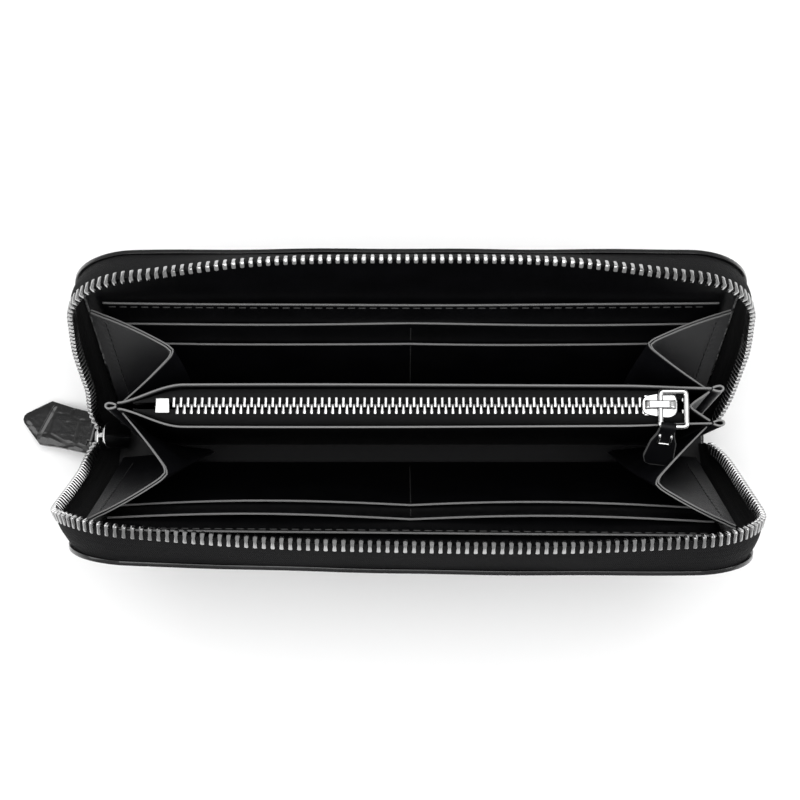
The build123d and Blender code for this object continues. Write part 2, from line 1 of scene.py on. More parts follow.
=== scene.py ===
# %% [markdown]
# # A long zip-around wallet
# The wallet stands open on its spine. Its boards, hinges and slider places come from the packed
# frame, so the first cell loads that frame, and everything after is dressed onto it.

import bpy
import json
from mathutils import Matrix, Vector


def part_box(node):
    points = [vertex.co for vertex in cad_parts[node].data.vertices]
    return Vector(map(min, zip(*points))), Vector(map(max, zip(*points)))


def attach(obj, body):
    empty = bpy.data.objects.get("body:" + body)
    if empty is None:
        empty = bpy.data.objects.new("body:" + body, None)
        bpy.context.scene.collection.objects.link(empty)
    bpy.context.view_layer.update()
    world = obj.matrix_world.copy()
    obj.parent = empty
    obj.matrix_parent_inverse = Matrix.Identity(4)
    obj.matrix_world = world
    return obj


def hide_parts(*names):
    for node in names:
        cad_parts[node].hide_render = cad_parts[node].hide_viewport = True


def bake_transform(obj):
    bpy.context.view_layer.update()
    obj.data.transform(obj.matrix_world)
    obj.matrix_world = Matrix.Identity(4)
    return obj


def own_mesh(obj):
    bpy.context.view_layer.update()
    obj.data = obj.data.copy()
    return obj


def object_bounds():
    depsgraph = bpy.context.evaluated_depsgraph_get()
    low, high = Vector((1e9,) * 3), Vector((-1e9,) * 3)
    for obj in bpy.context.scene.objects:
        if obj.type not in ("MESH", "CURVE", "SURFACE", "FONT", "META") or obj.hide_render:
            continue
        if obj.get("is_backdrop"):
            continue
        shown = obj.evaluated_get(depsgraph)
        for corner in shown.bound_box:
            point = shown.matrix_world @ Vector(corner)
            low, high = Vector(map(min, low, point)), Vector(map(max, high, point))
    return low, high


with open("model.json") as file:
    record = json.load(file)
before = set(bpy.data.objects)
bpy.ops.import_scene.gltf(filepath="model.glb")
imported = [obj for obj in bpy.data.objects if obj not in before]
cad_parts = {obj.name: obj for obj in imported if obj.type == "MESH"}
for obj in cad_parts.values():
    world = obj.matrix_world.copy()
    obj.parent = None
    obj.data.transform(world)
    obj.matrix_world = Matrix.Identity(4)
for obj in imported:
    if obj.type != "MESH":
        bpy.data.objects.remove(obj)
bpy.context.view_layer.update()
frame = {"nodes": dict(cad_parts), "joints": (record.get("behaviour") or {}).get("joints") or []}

# %% [markdown]
# ## Libraries and units
# Blender works in metres and a wallet is drawn in millimetres, so MM turns one into the other. The
# rear cover stands on the +Y side of the spine and the front cover on the -Y side, and SIDES keeps
# that as a sign, so one function can make both sides instead of two that could drift apart.

# %% Libraries and units
import json
import math

import bpy
import numpy as np
from mathutils import Vector

MM = 0.001
SIDES = {"rear": 1, "front": -1}

# %% [markdown]
# ## Reading the frame
# A maker lays the pattern out from a few measures: where each cover folds, how far it leans, how long
# and tall it is. They are read from the frame's joints and boxes, so no place is typed twice.

# %% Measures from the frame
joints = {joint["name"]: joint for joint in frame["joints"]}
hinge = joints["rear_cover_fold"]["pos_m"]
HINGE_Y, HINGE_Z = hinge[1], hinge[2]
LEAN = {side: math.radians(joints[f"{name}_cover_fold"]["range_deg"][1]) for name, side in SIDES.items()}
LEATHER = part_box("spine_leather")[1][2]
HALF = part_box("spine_leather")[1][0]
HEIGHT = (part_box("rear_cover_leather")[1][2] - HINGE_Z) / math.cos(LEAN[1])
CORNER = 20 * MM
print("half length", HALF, "cover height", HEIGHT, "leans", LEAN)

# %% [markdown]
# ## Places on a cover
# A real cover is never quite flat: it bows along its length, sits in a little and twists. Each layer
# could be bent on its own, but then the layers would cut through each other. Here one function
# places them all: it takes a place along the cover, a height and a depth, and bends them together.

# %% Places on a cover
BOW = {1: 0.5 * MM, -1: 1.4 * MM}
SET_IN = {1: 0.0, -1: 1.0 * MM}
TWIST = {1: 0.0, -1: 1.8 * MM}


def on_cover(side, x, height, depth):
    """Points on a cover: x along it, height up from the fold, depth inwards from its outer face."""
    x, height, depth = np.broadcast_arrays(x, height, depth)
    along = x / HALF
    bowed = BOW[side] * (0.5 - along ** 2) + TWIST[side] * along - SET_IN[side]
    bowed = bowed * np.clip(height / HEIGHT, 0, 1) ** 2
    inwards = depth - LEATHER - bowed
    lean = LEAN[side]
    y = HINGE_Y + height * math.sin(lean) - inwards * math.cos(lean)
    z = HINGE_Z + height * math.cos(lean) + inwards * math.sin(lean)
    return np.stack([x, side * y, z], axis=-1)


def smooth(t):
    """A ramp from 0 to 1 that starts and stops gently."""
    t = np.clip(t, 0, 1)
    return t * t * (3 - 2 * t)


print("middle of the rear cover's top edge", on_cover(1, 0.0, HEIGHT, 0.0))

# %% [markdown]
# ## Finishes
# A finish is a small network of shader nodes. Writing it as sums and products is easier to read than
# a list of links, so a tiny class wraps a socket, and each plus or times adds one Math node.

# %% A socket that can be added and multiplied
class Shade:
    """One output socket of a finish, on which sums and products can be written."""

    def __init__(self, finish, socket):
        self.finish, self.socket = finish, socket

    def maths(self, operation, *values):
        return self.finish.node("ShaderNodeMath", {"operation": operation}, dict(enumerate(values)))

    def __add__(self, other):
        return self.maths("ADD", self, other)

    def __sub__(self, other):
        return self.maths("SUBTRACT", self, other)

    def __rsub__(self, other):
        return self.maths("SUBTRACT", other, self)

    def __mul__(self, other):
        return self.maths("MULTIPLY", self, other)

    __radd__, __rmul__ = __add__, __mul__


# %% [markdown]
# ## A finish and its nodes
# A finish is one Principled shader with textures in front of it. The same few come back in each:
# noise for clouds and fibres, cells for grain, a ramp, a mix of two colours and a bump. They could be
# added by hand in the node editor, and here each is a short method that does the same.

# %% A finish that builds its own nodes
class Finish:
    """A named material with one Principled shader."""

    def __init__(self, name, **uniform):
        self.material = bpy.data.materials.new(name)
        self.material.use_nodes = True
        self.tree = self.material.node_tree
        self.shader = self.tree.nodes["Principled BSDF"]
        self.set(**uniform)

    def link(self, target, value):
        if isinstance(value, Shade):
            self.tree.links.new(value.socket, target)
        else:
            target.default_value = value

    def node(self, kind, settings=None, values=None, output=0):
        made = self.tree.nodes.new(kind)
        for key, value in (settings or {}).items():
            setattr(made, key, value)
        for key, value in (values or {}).items():
            self.link(made.inputs[key], value)
        return Shade(self, made.outputs[output])

    def set(self, **inputs):
        for key, value in inputs.items():
            self.link(self.shader.inputs[key.replace("_", " ")], value)

    def mix(self, share, low, high):
        settings = {"data_type": "RGBA"}
        return self.node("ShaderNodeMix", settings, {0: share, 6: low, 7: high}, output=2)

    def place(self):
        return self.node("ShaderNodeTexCoord", output="Object")

    def mark(self, name):
        return self.node("ShaderNodeAttribute", {"attribute_name": name}, output="Fac")

    def noise(self, scale, detail=3.0, stretch=(1, 1, 1)):
        scaled = self.node("ShaderNodeVectorMath", {"operation": "MULTIPLY"}, {0: self.place(), 1: stretch})
        return self.node("ShaderNodeTexNoise", None, {"Vector": scaled, "Scale": scale, "Detail": detail})

    def cells(self, scale):
        values = {"Vector": self.place(), "Scale": scale}
        return self.node("ShaderNodeTexVoronoi", {"feature": "DISTANCE_TO_EDGE"}, values)

    def ramp(self, value, low, high):
        """0 below low, 1 above high, smooth between."""
        settings = {"interpolation_type": "SMOOTHSTEP"}
        return self.node("ShaderNodeMapRange", settings, {"Value": value, "From Min": low, "From Max": high})

    def bump(self, height, distance, strength=1.0):
        values = {"Height": height, "Distance": distance, "Strength": strength}
        self.set(Normal=self.node("ShaderNodeBump", None, values))


def grey(level, blue=1.0):
    """A grey, a little cooler when blue is above 1."""
    return (level, level, min(1.0, level * blue), 1.0)


# %% [markdown]
# ## Leather finishes
# The outside is glazed leather pressed with a crocodile pattern: the scales are real relief in the
# mesh, marked with an attribute named valley, and the shader adds pores and a hard glaze, and paints
# the creases darker as painted shade. The inside is smooth calf: nearly black, a fine grain, a soft
# shine, and a painted highlight along every folded edge.

# %% Glazed outer leather
def glazed_leather():
    """The pressed and glazed hide of the outside."""
    finish = Finish("glazed_croc_leather", Coat_Roughness=0.08, IOR=1.5, Specular_IOR_Level=0.3)
    valley = finish.mark("valley")
    pores = finish.cells(1400.0)
    cloud = finish.noise(60.0)
    worn = finish.ramp(cloud, 0.35, 0.75)
    scale = finish.mix(worn, grey(0.0025, 1.1), grey(0.005, 1.12))
    # Painted shade: where valley marks a crease, the base colour is painted darker, nearly black.
    finish.set(Base_Color=finish.mix(valley, scale, grey(0.002)))
    finish.set(Roughness=0.22 + 0.12 * valley + 0.1 * cloud)
    finish.set(Coat_Weight=0.6 - 0.5 * valley)
    finish.bump(finish.ramp(pores, 0.0, 0.12) * 0.5 + cloud, 0.05 * MM, 0.5)
    return finish.material


# %% [markdown]
# ## Smooth leather
# Calf, gusset leather and bound edges are the same hide, split to different thickness. They could be
# three networks, but one with a few settings keeps them related: how dark, how pale the painted
# highlight along a fold is, how rough, how grainy and how glossy. The attribute edge says where a fold
# is, and there the colour is painted pale as a highlight.

# %% Smooth inner leather
def smooth_leather(name, base, lit, roughness, grain, gloss):
    """Smooth leather: its darkness, the painted highlight on its folds, and its shine."""
    finish = Finish(name, IOR=1.45, Specular_IOR_Level=gloss)
    edge = finish.mark("edge")
    cells = finish.cells(2600.0)
    cloud = finish.noise(90.0, 4.0)
    body = finish.mix(finish.ramp(cloud, 0.3, 0.7), grey(base, 1.25), grey(base * 1.7, 1.25))
    # Painted highlight: where edge is set, the base colour is painted pale grey (lit) along the fold.
    finish.set(Base_Color=finish.mix(edge, body, grey(lit)))
    finish.set(Roughness=roughness + 0.12 * cloud - 0.1 * edge)
    finish.bump(finish.ramp(cells, 0.0, 0.1) * grain + cloud * 0.8, 0.04 * MM, 0.6)
    return finish.material


# %% [markdown]
# ## Woven zip tape
# Zip tape is a herringbone weave: narrow bands of slanting ribs that change direction at each band.
# The pattern is worked out from the tape's own UV map, which holds millimetres along and across it.

# %% Herringbone tape
def woven_tape():
    """Black herringbone tape."""
    finish = Finish("herringbone_tape", IOR=1.45, Specular_IOR_Level=0.12)
    finish.set(Sheen_Weight=0.03, Sheen_Roughness=0.5)
    flat = finish.node("ShaderNodeUVMap", {"uv_map": "UVMap"})
    split = finish.tree.nodes.new("ShaderNodeSeparateXYZ")
    finish.link(split.inputs[0], flat)
    along, across = Shade(finish, split.outputs[0]), Shade(finish, split.outputs[1])
    band = across.maths("PINGPONG", across, 0.9 * MM)
    rib = along + band * 0.9
    wave = rib.maths("PINGPONG", rib, 0.28 * MM) * (1 / (0.28 * MM))
    seam = finish.ramp(band, 0.0, 0.12 * MM) * finish.ramp(0.9 * MM - band, 0.0, 0.12 * MM)
    lift = finish.ramp(wave, 0.05, 0.7) * (0.4 + 0.6 * seam)
    fluff = finish.noise(900.0, 2.0)
    thread = finish.mix(lift, grey(0.0008), grey(0.010, 1.1))
    finish.set(Base_Color=finish.mix(fluff * 0.15, thread, grey(0.014)))
    finish.set(Roughness=0.92 - 0.22 * lift)
    finish.bump(lift + fluff * 0.25, 0.24 * MM)
    return finish.material


# %% [markdown]
# ## Zip metal
# The zip's metal is nickel, polished in a drum, so it is bright but never a perfect mirror. A plain
# metal would look like glass, so a slow smear changes its roughness and colour, and fine hairlines
# are drawn out along one axis by stretching the noise.

# %% Polished metal
def polished_metal():
    """Drum-polished nickel."""
    finish = Finish("polished_nickel", Metallic=1.0, IOR=1.8)
    hair = finish.noise(700.0, 2.0, (1, 0.15, 1))
    smear = finish.noise(120.0)
    finish.set(Base_Color=finish.mix(finish.ramp(smear, 0.3, 0.8), grey(0.42), grey(0.56)))
    finish.set(Roughness=0.12 + 0.1 * smear + 0.04 * hair)
    finish.bump(hair + smear * 2.0, 0.006 * MM, 0.5)
    return finish.material


# %% [markdown]
# ## Thread
# Sewing thread is twisted and waxed. At this size a stitch is a few pencil points long, so the twist
# is a noise stretched along the thread, which both darkens it and lifts it as bump.

# %% Waxed thread
def waxed_thread():
    """Black twisted thread."""
    finish = Finish("waxed_thread", IOR=1.45)
    twist = finish.noise(2500.0, 1.0, (1, 1, 3))
    finish.set(Base_Color=finish.mix(twist, grey(0.006), grey(0.035)))
    finish.set(Roughness=0.45 + 0.2 * twist)
    finish.bump(twist, 0.05 * MM)
    return finish.material


# %% [markdown]
# ## Board
# The stiffening board is pressed fibre. It is hidden when the wallet is whole, but it has its own
# finish, because a part may be looked at alone. Stretched noise makes its fibres.

# %% Pressed board
def pressed_board():
    """Pressed fibre board."""
    finish = Finish("pressed_board", IOR=1.45)
    fibre = finish.noise(500.0, 5.0, (1, 4, 4))
    finish.set(Base_Color=finish.mix(fibre, grey(0.05), grey(0.13)))
    finish.set(Roughness=0.8 + 0.15 * fibre)
    finish.bump(fibre, 0.06 * MM)
    return finish.material


# %% [markdown]
# ## The list of finishes
# Every piece names its finish with one word, and FINISH holds the materials.

# %% All the finishes
FINISH = {
    "croc": glazed_leather(),
    "calf": smooth_leather("smooth_calf", base=0.0018, lit=0.20, roughness=0.34, grain=0.8, gloss=0.17),
    "gusset": smooth_leather("soft_gusset_leather", base=0.0035, lit=0.17, roughness=0.36, grain=1.0,
                             gloss=0.18),
    "edge": smooth_leather("bound_edge", base=0.008, lit=0.20, roughness=0.3, grain=0.5, gloss=0.28),
    "tape": woven_tape(),
    "metal": polished_metal(),
    "thread": waxed_thread(),
    "board": pressed_board(),
}
print("finishes", sorted(FINISH))

# %% [markdown]
# ## Helpers at the bench
# Every leather piece starts as a flat grid, which is bent to its place and then given its thickness
# by Solidify and its soft edge by Bevel. A small helper does those steps in the same order each time.

# %% Mesh helpers
def points_of(piece):
    """All points of a piece, one row each."""
    flat = np.empty(len(piece.data.vertices) * 3)
    piece.data.vertices.foreach_get("co", flat)
    return flat.reshape(-1, 3)


def move_points(piece, points):
    """Moves all points of a piece at once."""
    piece.data.vertices.foreach_set("co", np.ascontiguousarray(points, float).ravel())
    piece.data.update()


# %% [markdown]
# ## Selecting and modifying
# An operator acts on all that is selected, so a piece is always made the only one first. Modifiers
# are added, set and applied at once, which leaves a plain mesh and no surprise later.

# %% One piece at a time
def only(piece):
    """Makes one piece the selected and active one."""
    bpy.ops.object.select_all(action="DESELECT")
    piece.select_set(True)
    bpy.context.view_layer.objects.active = piece


def face_outwards(piece):
    """Turns every face of a closed piece to look outwards."""
    only(piece)
    bpy.ops.object.mode_set(mode="EDIT")
    bpy.ops.mesh.select_all(action="SELECT")
    bpy.ops.mesh.normals_make_consistent(inside=False)
    bpy.ops.object.mode_set(mode="OBJECT")


def modify(piece, kind, **settings):
    """Adds one modifier, sets it and applies it."""
    only(piece)
    made = piece.modifiers.new(kind.lower(), kind)
    for key, value in settings.items():
        setattr(made, key, value)
    bpy.ops.object.modifier_apply(modifier=made.name)


# %% [markdown]
# ## Handing a piece over
# A finished piece needs a material, smooth faces with crisp edges, the body it moves with and the
# names of the frame's pieces that it stands for. Doing all four in one place means none is forgotten.

# %% Finish a piece
def finish_piece(piece, finish, body=None, nodes=(), angle=35):
    """Gives a piece its finish, its body, and the frame nodes that it stands for."""
    piece.data.materials.clear()
    piece.data.materials.append(FINISH[finish])
    only(piece)
    bpy.ops.object.shade_smooth_by_angle(angle=math.radians(angle))
    if body:
        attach(piece, body)
    if nodes:
        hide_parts(*nodes)
    print(piece.name, len(piece.data.polygons), "faces")
    return piece


def paint(piece, name, values):
    """Keeps one number at each point of a piece, for its finish to read."""
    mark = piece.data.attributes.new(name, "FLOAT", "POINT")
    mark.data.foreach_set("value", np.asarray(values, np.float32))


# %% [markdown]
# ## Flat leather
# Leather is cut flat. A grid is the cut piece, and its UV map keeps its flat size in metres, so a
# weave stays even when the piece is bent. Solidify gives it thickness, and Bevel softens the cut.

# %% Cut and thicken
def grid(name, columns, rows, flat):
    """A flat grid whose UV map holds its size in metres, with each point's share across and up."""
    bpy.ops.object.select_all(action="DESELECT")
    bpy.ops.mesh.primitive_grid_add(x_subdivisions=columns, y_subdivisions=rows, size=1)
    piece = bpy.context.active_object
    piece.name = piece.data.name = name
    at = np.empty(len(piece.data.loops) * 2)
    layer = piece.data.uv_layers[0]
    layer.name = "UVMap"
    layer.data.foreach_get("uv", at)
    layer.data.foreach_set("uv", (at.reshape(-1, 2) * flat).ravel())
    start = points_of(piece)
    return piece, start[:, 0] + 0.5, start[:, 1] + 0.5


def thicken(piece, thickness, offset=0.0, soft=0.35):
    """Gives a sheet its thickness and, if soft, a rounded cut edge."""
    modify(piece, "SOLIDIFY", thickness=thickness, offset=offset)
    if soft:
        modify(piece, "BEVEL", width=thickness * soft, segments=2, limit_method="ANGLE",
               angle_limit=math.radians(55))
    face_outwards(piece)


# %% [markdown]
# ## Joining and repeating
# Parts that are one thing on the bench are joined to one mesh. Things that repeat, such as teeth and
# stitches, are modelled once and copied to a list of places, which is light and keeps them alike.

# %% Join and copy
def join(name, pieces):
    """Makes one named piece of several."""
    bpy.ops.object.select_all(action="DESELECT")
    for piece in pieces:
        piece.select_set(True)
    bpy.context.view_layer.objects.active = pieces[0]
    if len(pieces) > 1:
        bpy.ops.object.join()
    pieces[0].name = pieces[0].data.name = name
    return pieces[0]


def copies(name, pattern, places):
    """One mesh that holds a copy of the pattern at each 4 by 4 place."""
    points = points_of(pattern)
    faces = [list(face.vertices) for face in pattern.data.polygons]
    every, corners = [], []
    for i, place in enumerate(places):
        place = np.asarray(place, float)
        every.append(points @ place[:3, :3].T + place[:3, 3])
        corners.extend([[v + i * len(points) for v in face] for face in faces])
    mesh = bpy.data.meshes.new(name)
    mesh.from_pydata(np.concatenate(every).tolist(), [], corners)
    mesh.update()
    made = bpy.data.objects.new(name, mesh)
    bpy.context.collection.objects.link(made)
    return made


def drop(piece):
    """Removes a pattern once its copies are made."""
    bpy.data.objects.remove(piece, do_unlink=True)


def frame_at(origin, along, up):
    """A 4 by 4 place whose X runs along, and whose Z is as near up as it can be."""
    along = np.asarray(along, float) / np.linalg.norm(along)
    side = np.cross(up, along)
    side = side / np.linalg.norm(side)
    place = np.eye(4)
    place[:3, 0], place[:3, 1], place[:3, 2] = along, side, np.cross(along, side)
    place[:3, 3] = origin
    return place


# %% [markdown]
# ## Crocodile scales
# Embossed scales are rows of rounded rectangles with deep creases between them. Seeds are set out in
# staggered rows, each nudged a little, and a point is low where it is nearly as close to a second
# seed as to its first. The random draws are seeded, so the hide is the same each time.

# %% Scale relief
def scale_relief(across, up, width, height, pitch, seed):
    """How deep in a crease each point is, from 0 on a scale to 1 in a crease."""
    draw = np.random.default_rng(seed)
    seeds = []
    row, level = 0, -pitch[1]
    while level < height + pitch[1]:
        tall = pitch[1] * draw.uniform(0.85, 1.15)
        level += tall
        shift = 0.5 * pitch[0] * (row % 2)
        for i in range(int(width / pitch[0]) + 3):
            nudge = draw.uniform(-0.2, 0.2, 2) * pitch
            seeds.append(((i - 1) * pitch[0] + shift + nudge[0], level + nudge[1]))
        row += 1
    seeds = np.array(seeds) / pitch
    here = np.stack([across, up], axis=-1) / pitch
    crease = np.empty(len(here))
    for i in range(0, len(here), 4000):
        near = np.abs(here[i:i + 4000, None] - seeds[None])
        distance = np.sort((near ** 2.6).sum(axis=2) ** (1 / 2.6), axis=1)[:, :2]
        crease[i:i + 4000] = distance[:, 1] - distance[:, 0]
    return 1 - smooth(crease / 0.2)


# %% [markdown]
# ## Outer leather
# One long piece of hide wraps the wallet. It is cut in two along the middle of the spine, one half for
# each cover: flat under the spine, a soft turn at the fold, then straight up to the rounded corners.
# The scales are pressed inwards, so the hide keeps the frame's size.

# %% Section of the outer face
TURN = 3.2 * MM


def outer_section(side):
    """Half the spine's flat width, the turn's angle, and the height where the cover's straight starts."""
    lean = LEAN[side]
    angle = math.pi / 2 - lean
    edge_y = HINGE_Y + LEATHER * math.cos(lean)
    edge_z = HINGE_Z - LEATHER * math.sin(lean)
    tangent = TURN * math.tan(angle / 2)
    return edge_y - edge_z * math.tan(lean) - tangent, angle, tangent - edge_z / math.cos(lean)


print("rear section", outer_section(1), "front section", outer_section(-1))

# %% [markdown]
# ## Shaping the hide
# The hide starts as a fine grid, because the scales are pressed into it. Its rows are spaced so that
# they close up round the corners, and its columns end on the outline, so no knife is needed. The
# creases fade near the rim, where a real hide is pared thin before it is turned and sewn.

# %% Outer hide
SCALE_PITCH = np.array([11.5, 8.5]) * MM
SCALE_RELIEF = 0.42 * MM


def outer_hide(side, name):
    """Half of the outer hide: half the spine, the fold and one cover."""
    flat_run, turn_angle, first_height = outer_section(side)
    straight_start = flat_run + TURN * turn_angle
    run_top = straight_start + HEIGHT - first_height
    columns, rows = 172, 104
    piece, u, v = grid(name, columns, rows, (2 * HALF, run_top))
    start_corner = run_top - CORNER
    split = 0.86
    distance = np.where(v < split, v / split * start_corner,
                        start_corner + CORNER * np.sin((v - split) / (1 - split) * math.pi / 2))
    above = np.clip(distance - start_corner, 0, CORNER)
    reach = HALF - CORNER + np.sqrt(np.maximum(CORNER ** 2 - above ** 2, 0))
    x = (2 * u - 1) * reach
    crease = scale_relief(x + HALF, distance, 2 * HALF, run_top, SCALE_PITCH, 7 + side)
    edge = np.minimum(reach - np.abs(x), run_top - distance)
    crease *= smooth(edge / (1.2 * MM)) * 0.7 + 0.3
    press = SCALE_RELIEF * crease * smooth((edge - 0.4 * MM) / (4.0 * MM))
    wander = 0.35 * MM * np.sin(x / (9 * MM) + side) * np.sin(x / (23 * MM)) * smooth(distance / HEIGHT)
    angle = np.clip((distance - flat_run) / TURN, 0, turn_angle)
    flat = np.stack([x, np.minimum(distance, flat_run) + (TURN - press) * np.sin(angle),
                     TURN - (TURN - press) * np.cos(angle)], axis=-1)
    flat[:, 1] *= side
    straight = on_cover(side, x, distance - straight_start + first_height + wander, press)
    move_points(piece, np.where((distance > straight_start)[:, None], straight, flat))
    paint(piece, "valley", crease)
    face_outwards(piece)
    normal = piece.data.polygons[len(piece.data.polygons) // 2].normal
    if normal.y * side < 0:
        only(piece)
        bpy.ops.object.mode_set(mode="EDIT")
        bpy.ops.mesh.select_all(action="SELECT")
        bpy.ops.mesh.flip_normals()
        bpy.ops.object.mode_set(mode="OBJECT")
    thicken(piece, LEATHER, offset=-1.0, soft=0.3)
    return piece


for side_name, side in SIDES.items():
    hide = outer_hide(side, f"{side_name}_outer_hide")
    stands_for = [f"{side_name}_cover_leather"]
    if side > 0:
        stands_for.append("spine_leather")
    finish_piece(hide, "croc", None, stands_for, 50)
    side * (HINGE_Y - 1.4 * MM)
    side * (HINGE_Y + 1.8 * MM)
    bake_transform(hide)

# %% [markdown]
# ## Boards and linings that stay
# The stiffening boards and the spine's lining are flat and hidden, so the frame's own pieces stay and
# only get a better finish.

# %% Finish the frame's own flat pieces
def refinish(node, finish):
    """Gives a frame piece another finish and leaves its shape."""
    for place in frame["nodes"][node].material_slots:
        place.material = FINISH[finish]


refinish("spine_board", "board")
for node in ("spine_lining", "coin_base"):
    refinish(node, "calf")

# %% [markdown]
# ## Boards and linings of the covers
# Behind the hide lies a thin board, and over it thin calf, rounded at its two top corners and a touch
# padded, so that it swells between the tape's seam and the pockets. Both follow the cover's bow, so
# they are made by one function at two depths, and the board can't push through the hide.

# %% Linings
def cover_layer(side, name, depth, thick, puff):
    """A rounded layer inside a cover: its middle's depth, its thickness and how far it swells."""
    inset = 2.4 * MM
    piece, u, v = grid(name, 90, 60, (2 * (HALF - inset), HEIGHT - inset))
    split = 0.8
    radius = CORNER - inset
    top = HEIGHT - inset
    height = np.where(v < split, 1.0 * MM + v / split * (top - radius - 1.0 * MM),
                      top - radius + radius * np.sin((v - split) / (1 - split) * math.pi / 2))
    above = np.clip(height - top + radius, 0, radius)
    reach = HALF - inset - radius + np.sqrt(np.maximum(radius ** 2 - above ** 2, 0))
    x = (2 * u - 1) * reach
    rim = np.minimum(reach - np.abs(x), top - height)
    swell = puff * smooth(rim / (9 * MM)) * smooth((height - 74 * MM) / (8 * MM))
    move_points(piece, on_cover(side, x, height, depth + swell))
    thicken(piece, thick, offset=0.0, soft=0)
    return piece


for side_name, side in SIDES.items():
    board = cover_layer(side, f"{side_name}_board", 1.45 * MM, 0.44 * MM, 0.0)
    finish_piece(board, "board", f"{side_name}_cover", [f"{side_name}_cover_board"])
    lining = cover_layer(side, f"{side_name}_lining", 1.9 * MM, 0.4 * MM, 0.7 * MM)
    finish_piece(lining, "calf", f"{side_name}_cover", [f"{side_name}_cover_lining"])

# %% [markdown]
# ## Card pockets
# Each cover has a tall bill panel and two card strips, sewn down the middle, so the strips swell a
# little between the seams. Their top edges are folded over a cord of leather: a slightly thicker lip.
# The lip is marked with an attribute named edge, and there the finish paints a pale highlight.

# %% Pocket sheets
def pocket(side, name, half, foot, top, depth, puff, pinch, wave, seed):
    """One pocket sheet with a swollen middle and a rolled upper lip."""
    thick = 0.6 * MM
    piece, u, v = grid(name, 150, 40, (2 * half, top - foot))
    x = (2 * u - 1) * half
    rise = 1 - (1 - v) ** 1.6
    height = foot + rise * (top - foot)
    near_top = smooth((height - foot) / (top - foot))
    column = np.abs(np.sin(np.pi * x / half)) if pinch else np.cos(0.5 * np.pi * x / half)
    bulge = puff * near_top * (column if pinch else column ** 0.6)
    body = 0.6 * puff * (1 - (x / half) ** 2) * near_top
    phase = np.random.default_rng(seed).uniform(0, 6, 3)
    drift = wave * (np.sin(x / (31 * MM) + phase[0]) + 0.5 * np.sin(x / (13 * MM) + phase[1]))
    lip = smooth((height - top + 1.3 * MM) / (0.5 * MM))
    depth = depth + thick / 2 + bulge + body + 0.12 * MM * lip
    move_points(piece, on_cover(side, x, height + drift * near_top, depth))
    # The edge mark on the lip makes its finish paint a pale highlight there.
    paint(piece, "edge", smooth((height - top + 0.3 * MM) / (0.2 * MM)))
    thicken(piece, thick, offset=0.0, soft=0.4)
    return piece


# %% [markdown]
# ## How high and how full
# A pocket's top edge stands where the frame's does, so its height is read from there. The lower
# strips are fuller than the tall panel, because cards spread them. These few numbers are kept
# together: depth from the outer face, fullness, whether the middle seam pinches it, waviness, foot.

# %% Pocket measures
def cad_height(node, side):
    """How high up its cover a frame sheet's top edge is."""
    return (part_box(node)[1][2] - HINGE_Z) / math.cos(LEAN[side]) - 2.0 * MM * math.tan(LEAN[side])


POCKETS = {
    "bill_panel": (2.25, 0.5, 0.0, 0.18, 3.0),
    "card_strip_upper": (3.05, 0.45, 1.0, 0.22, 14.0),
    "card_strip_lower": (3.85, 0.5, 1.0, 0.24, 4.0),
}
EXTRA_PUFF = {1: 0.0, -1: 0.9}
BILL_FACE = 2.95 * MM


def strip_face(side, part, height):
    """Depth of a card strip's face along the seam down its middle."""
    depth, puff, _, _, foot = POCKETS[part]
    top = cad_height(f"{'rear' if side > 0 else 'front'}_{part}", side)
    swollen = 0.6 * (puff + EXTRA_PUFF[side]) * smooth((height - foot * MM) / (top - foot * MM))
    return (depth + 0.62 + swollen) * MM


def bill_swell(x, half):
    """How far the bill panel's upper edge stands off its flat place."""
    puff = 0.5 * MM
    return puff * np.cos(0.5 * np.pi * x / half) ** 0.6 + 0.6 * puff * (1 - (x / half) ** 2)


# %% [markdown]
# ## All the pocket sheets
# Three sheets a side are laid in order, from the tall bill panel to the low strip nearest the fold.

# %% Lay the pockets
for side_name, side in SIDES.items():
    for seed, (part, (depth, puff, pinch, wave, foot)) in enumerate(POCKETS.items()):
        node = f"{side_name}_{part}"
        top = cad_height(node, side)
        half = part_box(node)[1][0]
        sheet = pocket(side, f"{node}_sheet", half, foot * MM, top, depth * MM,
                       (puff + EXTRA_PUFF[side] * pinch) * MM, pinch, wave * MM, 20 + seed + side)
        finish_piece(sheet, "calf", f"{side_name}_cover", [node])

# %% [markdown]
# ## Main zip: the line of its teeth
# The teeth follow the tape's free edge: up from the slider, round two corners, along the top and down
# to the other end, where both rows tuck in beside the spine. The straight and rounded part is worked
# out like a rounded rectangle; the two feet are short curves that swing in to meet the slider.

# %% The rim's path
RIM_DEPTH = 10.8 * MM
INSET = 1.2 * MM
FOOT = 36 * MM
rim_half, rim_top, rim_radius = HALF - INSET, HEIGHT - INSET, CORNER - INSET
leg, arc, flat_top = rim_top - rim_radius, 0.5 * math.pi * rim_radius, 2 * (rim_half - rim_radius)
RIM_LENGTH = 2 * leg + 2 * arc + flat_top


def rim_flat(distance, inset=INSET):
    """x, height and outward direction on a line inset from the cover's edge, by distance from the left."""
    rim_half, rim_top, rim_radius = HALF - inset, HEIGHT - inset, CORNER - inset
    leg, arc, flat_top = rim_top - rim_radius, 0.5 * math.pi * rim_radius, 2 * (rim_half - rim_radius)
    turn = np.clip((distance - leg) / rim_radius, 0, math.pi / 2)
    turn2 = np.clip((distance - leg - arc - flat_top) / rim_radius, 0, math.pi / 2)
    x = -rim_half + rim_radius * (1 - np.cos(turn)) + np.clip(distance - leg - arc, 0, flat_top)
    x = x + rim_radius * np.sin(turn2)
    height = np.minimum(distance, leg) + rim_radius * np.sin(turn) - rim_radius * (1 - np.cos(turn2))
    height = height - np.maximum(distance - leg - 2 * arc - flat_top, 0)
    angle = math.pi - turn - turn2
    return x, height, np.cos(angle), np.sin(angle)


